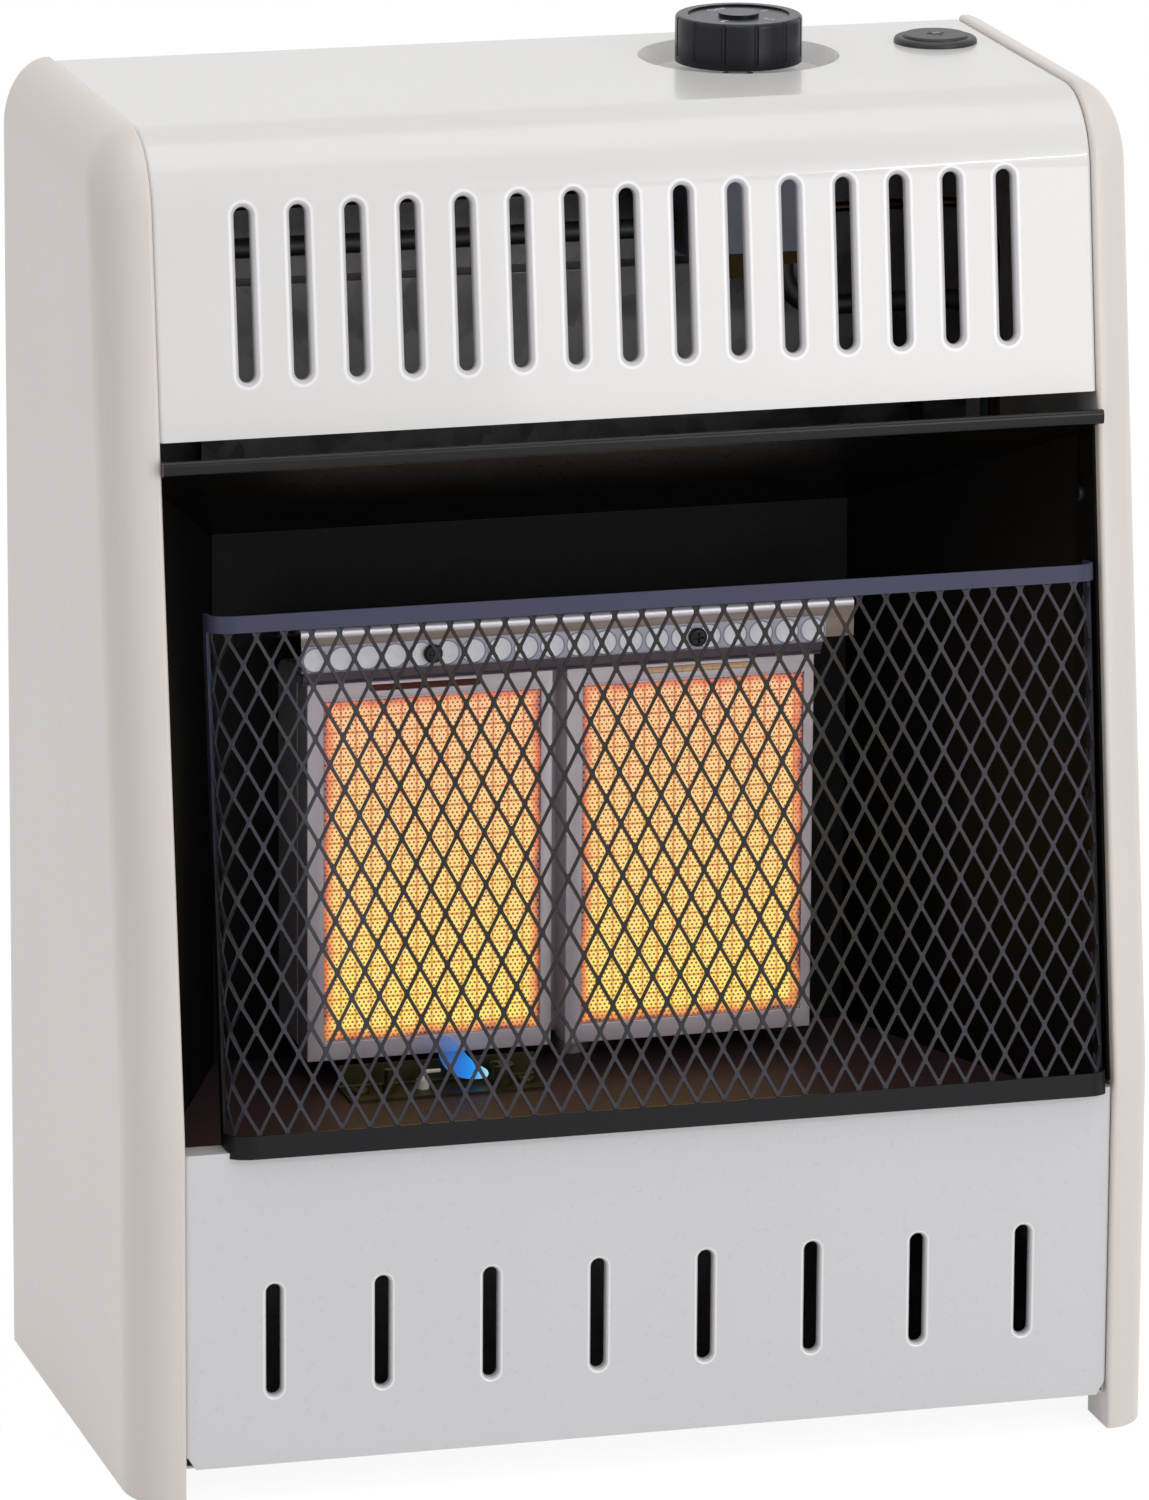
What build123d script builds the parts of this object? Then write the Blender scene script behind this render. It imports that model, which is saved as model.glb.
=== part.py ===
"""Two-plaque infrared gas room heater: an enamelled sheet-metal cabinet, its burner and its gas train.

Millimetres.  +X is the heater's right, -Y its front, +Z up.  The origin is at the middle of the
footprint, on the floor.  Depths are counted forwards from the wall behind the heater.
"""
from build123d import *
import os
from math import atan, cos, sin

os.makedirs("parts", exist_ok=True)

# ---------------------------------------------------------------- driving dimensions
cabinet_width = 411.0
cabinet_height = 525.0
cabinet_depth = 218.0            # wall to the front edge of the side casings
brow_depth = 166.0               # where the sloping front would meet the top
knee_height = 145.0              # the front is upright below this height
brow_radius = 33.0
knee_radius = 60.0
seam_width = 372.0               # between the inner edges of the two side casings
casing_roll = 26.0               # how far the casing's rounded edge falls back
casing_flange = 24.0
sheet = 1.0                      # cabinet sheet
bead = 1.6                       # bend radius along a casing's front edge
grille_proud = 4.0               # grille ahead of the casings

shell_recess = 1.5               # top and front sheet below the casings' edge
shell_flange = 12.0
shell_drop = 115.0               # top of the cabinet to the shell's lower edge
shell_hem = 12.0                # return along the shell's lower edge
shell_back_leg = 22.0
edge_gap = 0.1                   # between cabinet sheets that lie side by side
edge_radius = 1.6

back_sheet = 1.2
back_margin = 0.2
back_low = 15.0
back_shoulder = 5.0              # cut corners at the top of the back panel
bead_length = 250.0              # stiffening beads pressed into the back panel
bead_width = 12.0
bead_depth = 2.0
bead_heights = (180.0, 320.0)
casing_back_flange = 13.5
casing_flange_foot = 30.0
casing_flange_drop = 35.0
wall_hole_radius = 3.0
wall_hole_spacing = 300.0
wall_hole_low = 60.0
wall_hole_drop = 85.0            # top of the cabinet to the upper wall holes

top_slot_count = 15
top_slot_pitch = 21.55
top_slot_length = 66.5
top_slot_width = 6.4
top_slot_drop = 61.2             # top of the cabinet to the middle of the row
low_slot_count = 8
low_slot_pitch = 43.06
low_slot_length = 44.5
low_slot_width = 6.0
low_slot_height = 63.2
slot_lip_radius = 1.9
slot_lip_depth = 4.0
slot_lip_wall = 2.2

lower_panel_bottom = 13.5
lower_panel_top = 139.5
lower_panel_recess = 2.5
lower_panel_return = 11.5
lower_panel_chamfer = 4.0

pan_height = 14.6
pan_wall = 12.0
pan_setback = 28.0               # pan's front edge behind the casings'
pan_vent_setback = 50.0
pan_vent_length = 50.0

firebox_depth = 35.0             # face of the firebox back
firebox_back_width = 262.0
flare_end = 162.0                # where the flared sides turn straight forwards
burner_clearance = 14.0          # plaques above the firebox floor
canopy_clearance = 27.5          # canopy's back above the burner's shield
canopy_drop = 11.0               # canopy's front below the shell
canopy_upstand = 12.0
shield_low = 110.0               # rear heat shield
shield_drop = 93.0               # its top below the top of the cabinet
shield_off = 14.0
shield_leg = 14.0
shield_sheet = 0.8
rear_shield_half = 130.0
lip_proud = 5.26                 # rolled lip ahead of the casings' edge
lip_thickness = 4.0
lip_height = 5.6
lip_width = 373.0

grille_drop = 54.5               # grille's top below the canopy's front
grille_lap = 1.3                 # grille's foot below the top of the lower panel
top_bar_height = 6.5
bottom_bar_height = 9.0
bar_thickness = 1.4
grille_corner = 10.0
grille_wing = 17.0
grille_side_gap = 8.5            # grille narrower than the firebox opening, each side
grille_shift = 7.5               # it hangs this far to the right of the middle
grille_edge_strip = 5.0          # upright strip that closes each wing
grille_foot_gap = 0.2            # grille wings above the lower panel
mesh_pitch_x = 11.0
mesh_pitch_z = 20.0
mesh_strand = 1.9
mesh_thickness = 1.0

plaque_width = 98.0
plaque_height = 149.0
plaque_thickness = 13.0
plaque_middle_height = 209.5
plaque_spacing = 106.0
plaque_face = 80.0               # depth of the glowing face
window_width = 84.5
window_height = 139.5
divider_width = 6.0
gasket = 2.0
burner_wall = 1.0
burner_margin = 1.5              # box around the plaques, and face frame around the box

strip_gap = 4.5                  # strip above the face frame
strip_height = 11.0
strip_width = 214.0
dimple_pitch = 10.7
dimple_sphere = 14.0
dimple_sink = 0.7
shield_rise = 7.0                # shield above the strip
shield_fall = 14.0               # shield's top slopes down by this to the firebox back
shield_width = 226.0

tube_bore = 18.0                 # mixing tube
tube_wall = 1.0
mixing_drop = 29.0               # mixing tube's axis below the firebox floor
riser_x = 12.0
riser_depth = 48.0
mixing_mouth_x = 118.0
nozzle_gap = 6.0                 # injector's tip to the mixing tube's mouth
injector_thread = 5.0            # radius
injector_hex = 14.0
injector_plate = 2.0

pilot_depth = 94.0
pilot_x = -28.0
electrode_x = -60.0
thermocouple_x = -74.0
pilot_bracket_low = -92.0
pilot_bracket_high = -12.0
pilot_screw_x = (-86.0, -18.0)
pilot_upstand = 10.0
pilot_reach = 10.0               # bracket ahead of and behind the burner's axis
pilot_wall = 1.2
pilot_stem = 17.0                # pilot pieces below the firebox floor
pilot_radius = 5.0
probe_radius = 2.5

knob_x = 78.0
knob_depth = 53.0
knob_diameter = 50.0
knob_height = 19.0
knob_flutes = 12
flute_radius = 0.9
knob_recess_radius = 20.0
knob_boss_radius = 8.0
knob_travel = 4.0
knob_lift = 1.4                  # knob above the floor of its dish, past its travel
dish_diameter = 79.5
dish_floor_diameter = 71.0
dish_sink = 7.4
spindle_diameter = 8.0
running_gap = 0.06

igniter_x = 161.5
igniter_depth = 45.5
igniter_flange_diameter = 33.0
igniter_flange_height = 2.4
igniter_body_diameter = 30.0
igniter_body_length = 46.0
igniter_nut_hex = 36.0
button_diameter = 26.0
button_height = 1.0              # button above its flange at rest
button_travel = 5.5

valve_drop = 17.1                # valve below the floor of the knob's dish
valve_height = 51.0
valve_width = 54.0
valve_depth = 40.0
chamber_radius = 9.0
magnet_hex = 18.0
bonnet_radius = 13.0
bonnet_height = 8.0
valve_screw_rise = 33.0          # valve's own screws above its underside

gas_tube = 8.0
pilot_tube_diameter = 4.0
lead_diameter = 3.0
ignition_cable = 5.0
screw_shank = 3.8
screw_head = 7.6
screw_head_height = 2.2
csk_head = 7.0
csk_depth = 1.9
csk_length = 9.0
shell_screw_x = (-150.0, 0.0, 150.0)
pan_screw_x = (-120.0, 0.0, 120.0)
panel_screw_x = (-90.0, 90.0)
valve_screw_offset = 9.0
side_screw_drop = 32.0           # upper side screw below the canopy's front
side_screw_rise = 34.0           # lower side screw above the firebox floor
side_screw_step = 95.0
burner_screw_x = 88.0
burner_screw_offsets = (-59.5, 58.5)
reflector_screw_x = (-54.0, 54.0)

inlet_x = -168.0
inlet_depth = 53.0
inlet_low = 6.0
inlet_radius = 7.9
inlet_hex = 30.0
inlet_hex_height = 14.0
regulator_low = 44.0
regulator_high = 74.0
regulator_radius = 22.0
regulator_neck = 9.0

# ---------------------------------------------------------------- derived places
overall_depth = cabinet_depth + grille_proud
wall_y = overall_depth / 2
flat_x = cabinet_width / 2
seam_x = seam_width / 2
lean = (cabinet_depth - brow_depth) / (cabinet_height - knee_height)
lean_angle = atan(lean)
top_surface = cabinet_height - shell_recess
shell_x = seam_x - edge_gap
back_face = back_sheet
firebox_side_x = seam_x - sheet
knob_y = wall_y - knob_depth
igniter_y = wall_y - igniter_depth
dish_floor = top_surface - dish_sink
shell_bottom = cabinet_height - shell_drop
shell_screw_height = top_surface - 15.0
top_slot_height = cabinet_height - top_slot_drop
casing_flange_ends = (casing_flange_foot, cabinet_height - casing_flange_drop)
wall_hole_high = cabinet_height - wall_hole_drop
back_screw_heights = (wall_hole_low, (wall_hole_low + wall_hole_high) / 2, wall_hole_high)
shield_high = cabinet_height - shield_drop
valve_top = dish_floor - valve_drop
valve_bottom = valve_top - valve_height
valve_screw_x = (knob_x - valve_screw_offset, knob_x + valve_screw_offset)
valve_screw_height = valve_bottom + valve_screw_rise
pan_front = cabinet_depth - pan_setback
pan_screw_height = pan_height + 7.0
panel_screw_depth = pan_front - 6.0
panel_face = cabinet_depth - lower_panel_recess
panel_back = panel_face - lower_panel_return
box_low = plaque_middle_height - plaque_height / 2 - burner_margin
box_high = plaque_middle_height + plaque_height / 2 + burner_margin
frame_low, frame_high = box_low - burner_margin, box_high + burner_margin
strip_bottom = frame_high + strip_gap
strip_top = strip_bottom + strip_height
shield_top = strip_top + shield_rise
firebox_floor_height = plaque_middle_height - plaque_height / 2 - burner_clearance
mixing_height = firebox_floor_height - mixing_drop
canopy_back_height = shield_top + canopy_clearance
canopy_front_height = shell_bottom - canopy_drop
grille_top = canopy_front_height - grille_drop
grille_bottom = lower_panel_top - grille_lap
side_screw_low = firebox_floor_height + side_screw_rise
side_screw_heights = (canopy_front_height - side_screw_drop, side_screw_low + side_screw_step,
                      side_screw_low)
burner_screw_heights = [plaque_middle_height + offset for offset in burner_screw_offsets]


def y_at(depth):
    return wall_y - depth


def front_depth(height, inset=0.0):
    """Depth of the sloping front at a height, measured `inset` below the casings' edge."""
    return brow_depth + (cabinet_height - height) * lean - inset / cos(lean_angle)


lip_depth = front_depth(canopy_front_height) + lip_proud
canopy_slope = (canopy_front_height - canopy_back_height) / (lip_depth - lip_thickness / 2 - firebox_depth)


def canopy_height(depth):
    return canopy_back_height + (depth - firebox_depth) * canopy_slope


# ---------------------------------------------------------------- shared shapes
def side_plane(x):
    """Local x is the depth, local y the height; extrusions run towards -X."""
    return Plane(origin=(x, wall_y, 0), x_dir=(0, -1, 0), z_dir=(-1, 0, 0))


def front_plane(depth):
    """Local x is X, local y the height; extrusions run forwards."""
    return Plane(origin=(0, y_at(depth), 0), x_dir=(1, 0, 0), z_dir=(0, -1, 0))


def floor_plane(height):
    """Local x is X, local y is Y; extrusions run up."""
    return Plane(origin=(0, 0, height))


def slope_plane(x, height, inset):
    """On the sloping front: local x is X, local y runs up the slope; extrusions run outwards."""
    origin = (x, y_at(front_depth(height, inset)), height)
    return Plane(origin=origin, x_dir=(1, 0, 0), z_dir=(0, -cos(lean_angle), sin(lean_angle)))


def across(face, x_low, x_high):
    return extrude(side_plane(x_high) * face, x_high - x_low)


def upright(face, depth_low, depth_high):
    return extrude(front_plane(depth_low) * face, depth_high - depth_low)


def block(x_low, x_high, depth_low, depth_high, z_low, z_high):
    middle = ((x_low + x_high) / 2, y_at((depth_low + depth_high) / 2), (z_low + z_high) / 2)
    return Pos(*middle) * Box(x_high - x_low, depth_high - depth_low, z_high - z_low)


def polygon(points):
    return make_face(Polyline(*points, close=True))


def bent_face(points, radii, thickness):
    """Section of a folded sheet.  The points run along one side; the sheet lies to their left."""
    corners = [Vector(*p) for p in points]
    ways = [(b - a).normalized() for a, b in zip(corners, corners[1:])]
    sides = [Vector(-w.Y, w.X) * thickness for w in ways]
    far = [corners[0] + sides[0]]
    far_radii = []
    for i, radius in enumerate(radii):
        before, after = ways[i], ways[i + 1]
        turn = before.X * after.Y - before.Y * after.X
        far.append(corners[i + 1] + (sides[i] + sides[i + 1]) / (1 + before.dot(after)))
        far_radii.append(max(radius - thickness if turn > 0 else radius + thickness, 0.0))
    far.append(corners[-1] + sides[-1])
    near_line = FilletPolyline(*corners, radius=list(radii)) if radii else Line(*corners)
    far_line = FilletPolyline(*far, radius=far_radii) if radii else Line(*far)
    ends = Line(corners[0], far[0]) + Line(corners[-1], far[-1])
    return make_face(near_line.edges() + far_line.edges() + ends.edges())


def rod(start, end, radius):
    start, end = Vector(*start), Vector(*end)
    length = (end - start).length
    place = Plane(origin=start, z_dir=end - start)
    return place * Cylinder(radius, length, align=(Align.CENTER, Align.CENTER, Align.MIN))


def hollow_rod(start, end, radius, bore):
    return rod(start, end, radius) - rod(start, end, bore)


def hexagon(start, end, across_flats):
    start, end = Vector(*start), Vector(*end)
    place = Plane(origin=start, z_dir=end - start)
    return extrude(place * RegularPolygon(across_flats / 2, 6, major_radius=False), (end - start).length)


def tube(points, radii, diameter):
    """A bent tube or lead: straight runs joined by tangent arcs."""
    path = FilletPolyline(*points, radius=list(radii))
    start = Plane(origin=path @ 0, z_dir=path % 0)
    return sweep(start * Circle(diameter / 2), path=path)


def screw(seat, outwards, length, shank=screw_shank, head=screw_head, head_height=screw_head_height):
    """A pan-head screw: `seat` is the face under its head, `outwards` points out of the head."""
    seat, outwards = Vector(*seat), Vector(*outwards).normalized()
    place = Plane(origin=seat, z_dir=outwards)
    low = (Align.CENTER, Align.CENTER, Align.MIN)
    cap = Cylinder(head / 2, head_height, align=low)
    cap = fillet(cap.edges().group_by(Axis.Z)[-1], head_height * 0.55)
    for angle in (0, 90):
        cap -= Pos(0, 0, head_height * 0.45) * Rot(0, 0, angle) * Box(head * 0.55, head * 0.11, head_height,
                                                                      align=low)
    return place * (cap + Pos(0, 0, -length) * Cylinder(shank / 2, length, align=low))


def clearance_hole(seat, outwards, length=6.0, shank=screw_shank):
    seat, outwards = Vector(*seat), Vector(*outwards).normalized()
    return rod(seat - outwards * length, seat + outwards * length, shank / 2 + edge_gap)


def ring(x, y, outline):
    """A turned piece about the upright axis at x, y; the outline's points are (radius, height)."""
    plane = Plane(origin=(x, y, 0), x_dir=(1, 0, 0), z_dir=(0, -1, 0))
    return revolve(plane * polygon(outline), axis=Axis((x, y, 0), (0, 0, 1)))


def mirrored(shape):
    return mirror(shape, about=Plane.YZ)


def row(count, pitch):
    return [(i - (count - 1) / 2) * pitch for i in range(count)]


pieces = {}

# ---------------------------------------------------------------- side casings
side_screw_places = [(front_depth(z) - casing_flange + 4.0, z) for z in side_screw_heights]
foot_screw_place = (pan_front + 4.0, wall_hole_low)
back_screw_x = flat_x - 7.5
back_panel_top = cabinet_height - casing_flange * 0.4


def casing_outline(inset, low=0.0):
    """Corners and bend radii of the cabinet's side outline, `inset` below the casings' edge."""
    top = cabinet_height - inset
    face = cabinet_depth - inset
    brow = brow_depth - inset * (1 - sin(lean_angle)) / cos(lean_angle)
    knee = cabinet_height - (inset + (face - brow_depth) * cos(lean_angle)) / sin(lean_angle)
    return [(0, top), (brow, top), (face, knee), (face, low)], [brow_radius - inset, knee_radius - inset]


def side_casing():
    corners, radii = casing_outline(casing_roll)
    top = cabinet_height
    roll_x = flat_x - seam_x - bead
    centre = (seam_x + bead, top - casing_roll)
    outer = EllipticalCenterArc(centre, roll_x, casing_roll, start_angle=0, arc_size=90)
    inner = EllipticalCenterArc(centre, roll_x - sheet, casing_roll - sheet, start_angle=0, arc_size=90)
    bend = (seam_x + bead, top - bead)
    outer_bend = CenterArc(bend, bead, 90, 90)
    inner_bend = CenterArc(bend, bead - sheet, 90, 90)
    low = top - casing_flange
    lines = Polyline((seam_x, top - bead), (seam_x, low), (seam_x + sheet, low),
                     (seam_x + sheet, top - bead))
    foot = Line((flat_x - sheet, top - casing_roll), (flat_x, top - casing_roll))
    section = make_face(outer.edges() + outer_bend.edges() + lines.edges() + inner_bend.edges()
                        + inner.edges() + foot.edges())
    path = FilletPolyline(*[(flat_x, y_at(d), z) for d, z in corners], radius=radii)
    roll = sweep(front_plane(0) * section, path=path)
    edge = FilletPolyline(*corners, radius=radii)
    rest = Polyline(corners[-1], (0, 0), corners[0])
    plate = across(make_face(edge.edges() + rest.edges()), flat_x - sheet, flat_x)
    flange = block(flat_x - sheet - casing_back_flange, flat_x - sheet / 2, back_face, back_face + sheet,
                   *casing_flange_ends)
    casing = roll + plate + flange
    casing -= block(seam_x - 1, seam_x + sheet + back_margin, -1, back_face,
                    low - 1, back_panel_top + back_margin)
    for depth, height in side_screw_places + [foot_screw_place]:
        casing -= clearance_hole((seam_x, y_at(depth), height), (1, 0, 0))
    for height in back_screw_heights:
        casing -= clearance_hole((back_screw_x, y_at(back_face), height), (0, 1, 0), length=3.0)
    return casing


pieces["side_casing_right"] = side_casing()
pieces["side_casing_left"] = mirrored(pieces["side_casing_right"])


# ---------------------------------------------------------------- top and upper front
def vent_slots(panel, places, plane_at, length, width):
    """Rounded upright slots whose rims are drawn inwards."""
    outer = SlotOverall(length + 2 * slot_lip_wall, width + 2 * slot_lip_wall, rotation=90)
    inner = SlotOverall(length, width, rotation=90)
    planes = [plane_at(x) for x in places]
    for plane in planes:
        panel += extrude(plane * outer, -slot_lip_depth)
    for plane in planes:
        panel -= extrude(plane * inner, slot_lip_depth * 2, both=True)
    rims = [e for e in panel.edges() for p in planes
            if abs(p.to_local_coords(e.center()).Z) < 1e-3
            and abs(p.to_local_coords(e.center()).X) < width / 2 + 0.01
            and abs(p.to_local_coords(e.center()).Y) < length / 2 + 0.01]
    return fillet(rims, slot_lip_radius)


def cabinet_shell():
    top = top_surface
    half = shell_x
    low = top - shell_flange
    section = bent_face([(-half, low), (-half, top), (half, top), (half, low)], [edge_radius] * 2, -sheet)
    corners, radii = casing_outline(shell_recess + shell_flange, low=shell_bottom - 20)
    corners[0] = (back_face, corners[0][1])
    foot_height = shell_bottom - 20
    corners = corners[:2] + [(front_depth(foot_height, shell_recess + shell_flange), foot_height)]
    path = FilletPolyline(*[(0, y_at(d), z) for d, z in corners], radius=radii[:1])
    shell = sweep(front_plane(back_face) * section, path=path)
    inside = half - sheet / 2
    shell -= block(-half - 1, half + 1, 0, cabinet_depth, 0, shell_bottom)
    middle = shell_recess + sheet / 2
    low_front = front_depth(shell_bottom, middle)
    hem = polygon([(low_front, shell_bottom),
                   (front_depth(shell_bottom + sheet, middle), shell_bottom + sheet),
                   (low_front - shell_hem, shell_bottom + sheet), (low_front - shell_hem, shell_bottom)])
    shell += across(hem, -inside, inside)
    shell += block(-inside, inside, back_face, back_face + sheet, top - shell_back_leg, top - sheet / 2)
    shell -= rod((knob_x, knob_y, top - 20), (knob_x, knob_y, top + 1), dish_diameter / 2)
    rim = dish_diameter / 2
    floor = dish_floor_diameter / 2
    bore = spindle_diameter / 2 + 2.0
    shell += ring(knob_x, knob_y, [
        (rim + sheet, top - sheet), (rim + sheet, top), (rim, top), (floor, dish_floor), (bore, dish_floor),
        (bore, dish_floor - sheet), (floor + 0.6, dish_floor - sheet)])
    shell -= rod((igniter_x, igniter_y, top - 20), (igniter_x, igniter_y, top + 1),
                 igniter_body_diameter / 2 + edge_gap)
    for x in shell_screw_x:
        shell -= clearance_hole((x, y_at(back_face), shell_screw_height), (0, 1, 0), length=3.0)
    middle_height = top_slot_height
    return vent_slots(shell, row(top_slot_count, top_slot_pitch),
                      lambda x: slope_plane(x, middle_height, shell_recess), top_slot_length, top_slot_width)


pieces["cabinet_shell"] = cabinet_shell()


# ---------------------------------------------------------------- lower front panel
def lower_front_panel():
    outer = block(-shell_x, shell_x, panel_back, panel_face, lower_panel_bottom, lower_panel_top)
    outer = fillet(outer.edges().filter_by(Axis.Z).group_by(Axis.Y)[0], edge_radius)
    inner = block(-shell_x + sheet, shell_x - sheet, panel_back - 1, panel_face - sheet,
                  lower_panel_bottom + sheet, lower_panel_top - sheet)
    panel = outer - inner
    tongue = block(-shell_x + 8, shell_x - 8, pan_front - 12, panel_back + 1,
                   lower_panel_bottom, lower_panel_bottom + sheet)
    panel += tongue
    cut = lower_panel_chamfer
    for side in (-1, 1):
        x = side * shell_x
        corner = polygon([(x, lower_panel_bottom), (x - side * cut, lower_panel_bottom),
                          (x, lower_panel_bottom + cut * 1.6)])
        panel -= upright(corner, panel_face - sheet - 1.5, panel_face + 1)
    for x in panel_screw_x:
        panel -= clearance_hole((x, y_at(panel_screw_depth), lower_panel_bottom), (0, 0, -1))
    return vent_slots(panel, row(low_slot_count, low_slot_pitch),
                      lambda x: Plane(origin=(x, y_at(panel_face), low_slot_height), x_dir=(1, 0, 0),
                                      z_dir=(0, -1, 0)), low_slot_length, low_slot_width)


pieces["lower_front_panel"] = lower_front_panel()


# ---------------------------------------------------------------- back panel and base pan
def back_panel():
    half = flat_x - sheet - back_margin
    top = back_panel_top
    shoulder = cabinet_height - casing_roll - 2
    corner, inner = half - back_shoulder, seam_x - 2
    right = [(half, back_low), (half, shoulder), (corner, top - 6), (inner, top)]
    panel = upright(polygon(right + [(-x, z) for x, z in reversed(right)]), 0, back_sheet)
    for x in (-wall_hole_spacing / 2, wall_hole_spacing / 2):
        for z in (wall_hole_low, wall_hole_high):
            panel -= rod((x, y_at(-1), z), (x, y_at(3), z), wall_hole_radius)
    for z in bead_heights:
        groove = SlotOverall(bead_length - 2 * back_sheet, bead_width - 2 * back_sheet)
        ridge = SlotOverall(bead_length, bead_width)
        panel += upright(Pos(0, z) * ridge, back_sheet, back_sheet + bead_depth)
        panel -= upright(Pos(0, z) * groove, 0, bead_depth)
    for side in (-1, 1):
        for z in back_screw_heights:
            panel -= csk_hole(side * back_screw_x, z)
    for x in shell_screw_x:
        panel -= csk_hole(x, shell_screw_height)
    for x in pan_screw_x:
        panel -= csk_hole(x, pan_screw_height)
    for x in valve_screw_x:
        panel -= csk_hole(x, valve_screw_height)
    return panel


def csk_screw(x, z, gap=0.0):
    """A flush countersunk screw through the back, its head level with the back face."""
    shank = screw_shank / 2 + gap
    head = csk_head / 2 + gap
    plane = Plane(origin=(x, wall_y, z), x_dir=(1, 0, 0), z_dir=(0, 0, 1))
    outline = polygon([(0, 0), (head, 0), (shank, -csk_depth), (shank, -csk_length), (0, -csk_length)])
    return revolve(plane * outline, axis=Axis((x, wall_y, z), (0, 1, 0)))


def csk_hole(x, z):
    return csk_screw(x, z, gap=edge_gap / 2)


def base_pan():
    half = flat_x - sheet
    low, high = pan_height, pan_height + pan_wall
    pan = block(-half, half, back_face, pan_front, low, high)
    pan -= block(-half + sheet, half - sheet, back_face + sheet, pan_front + 1, low + sheet, high + 1)
    for x in row(6, 42.0):
        vent = Pos(x, y_at(pan_front - pan_vent_setback)) * SlotOverall(pan_vent_length, 8, rotation=90)
        pan -= extrude(floor_plane(low - 1) * vent, 4)
    pan -= rod((inlet_x, y_at(inlet_depth), low - 2), (inlet_x, y_at(inlet_depth), low + 4), 13.0)
    for x in pan_screw_x:
        pan -= csk_hole(x, pan_screw_height)
    for x in panel_screw_x:
        pan -= clearance_hole((x, y_at(panel_screw_depth), low), (0, 0, -1))
    side_flange = block(-half, half, pan_front - 25, pan_front + 1, low + sheet, high + 1)
    pan -= side_flange
    return pan


for side, name in ((-1, "left"), (1, "right")):
    for height in back_screw_heights:
        pieces["side_casing_" + name] -= csk_hole(side * back_screw_x, height)
for x in shell_screw_x:
    pieces["cabinet_shell"] -= csk_hole(x, shell_screw_height)
pieces["back_panel"] = back_panel()
pieces["base_pan"] = base_pan()


# ---------------------------------------------------------------- hood and firebox
plan_margin = 7.0                # canopy wider than the firebox at its back corners
front_clearance = 5.5            # firebox sides behind the casings' front edge
floor_gap = 0.3
hem_overlap = 2.0                # firebox walls below the face of its floor
floor_lip_depth = panel_back - 1.0
floor_lip_top = firebox_floor_height + 13.0
back_half = firebox_back_width / 2
burner_screw_places = [(x, z) for x in (-burner_screw_x, burner_screw_x) for z in burner_screw_heights]


def flare_plan(back, wide, depth_low, depth_high):
    """Plan of the flared firebox: half widths at its back and front, and its two depths."""
    right = [(back, y_at(depth_low)), (wide, y_at(flare_end)), (wide, y_at(depth_high))]
    return polygon(right + [(-x, y) for x, y in reversed(right)])


def hood_canopy():
    hem_depth = lip_depth - lip_thickness / 2
    section = bent_face([(firebox_depth, canopy_back_height + canopy_upstand),
                         (firebox_depth, canopy_back_height), (hem_depth, canopy_front_height)],
                        [3.0], sheet)
    canopy = across(section, -shell_x, shell_x)
    plan = flare_plan(back_half + plan_margin, shell_x, firebox_depth - sheet, lip_depth)
    canopy = canopy & extrude(floor_plane(canopy_back_height - sheet) * plan, cabinet_height)
    hem = Pos(hem_depth, canopy_front_height + lip_height / 2 - sheet / 2) * RectangleRounded(
        lip_thickness, lip_height, lip_thickness * 0.42)
    return canopy + across(hem, -lip_width / 2, lip_width / 2)


def firebox_side():
    """Flared side wall with a leg down beside the base pan; its front strip backs the casing's flange."""
    back = firebox_depth - sheet
    plan = bent_face([(back_half, y_at(back)), (firebox_side_x, y_at(flare_end)),
                      (firebox_side_x, y_at(cabinet_depth))], [3.0], sheet)
    wall = extrude(floor_plane(0) * plan, canopy_front_height)
    low = firebox_floor_height - hem_overlap
    foot = pan_height + sheet + edge_gap
    leg_front = pan_front + 10.0
    step = lower_panel_top + hem_overlap
    crown_depth = lip_depth - lip_thickness - front_clearance
    outline = polygon([(back, low), (flare_end, low), (flare_end, foot), (leg_front, foot),
                       (leg_front, step), (front_depth(step) - front_clearance, step),
                       (crown_depth, canopy_height(crown_depth)), (firebox_depth, canopy_back_height),
                       (back, canopy_back_height)])
    wall = wall & across(outline, 0, seam_x + sheet)
    for depth, height in side_screw_places + [foot_screw_place]:
        wall -= clearance_hole((seam_x, y_at(depth), height), (1, 0, 0))
    return wall


def firebox_back():
    low = firebox_floor_height - hem_overlap
    high = canopy_back_height + canopy_upstand
    plate = block(-back_half, back_half, firebox_depth - sheet, firebox_depth, low, high)
    for x, z in burner_screw_places:
        plate -= clearance_hole((x, y_at(firebox_depth), z), (0, 1, 0))
    return plate


def firebox_floor():
    top = firebox_floor_height
    wide = firebox_side_x - floor_gap
    plan = flare_plan(back_half - floor_gap, wide, firebox_depth, floor_lip_depth)
    plate = extrude(floor_plane(top - sheet) * plan, sheet)
    plate += block(-wide, wide, floor_lip_depth - sheet, floor_lip_depth, top - sheet, floor_lip_top)
    plate -= rod((riser_x, y_at(riser_depth), top - 5), (riser_x, y_at(riser_depth), top + 5),
                 tube_bore / 2 + tube_wall + 0.6)
    window = pilot_reach - 4.0
    plate -= block(thermocouple_x - window, pilot_x + window, pilot_depth - window, pilot_depth + window,
                   top - 5, top + 5)
    for x in pilot_screw_x:
        plate -= clearance_hole((x, y_at(pilot_depth), top), (0, 0, 1))
    return plate


def rear_heat_shield():
    """Z-legged sheet on the back panel, narrower than the wall holes' spacing."""
    low, high = shield_low, shield_high
    section = bent_face([(back_face, high + shield_leg), (back_face, high), (shield_off, high),
                         (shield_off, low), (back_face, low), (back_face, low - shield_leg)],
                        [0.0] * 4, shield_sheet)
    return across(section, -rear_shield_half, rear_shield_half)


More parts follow.
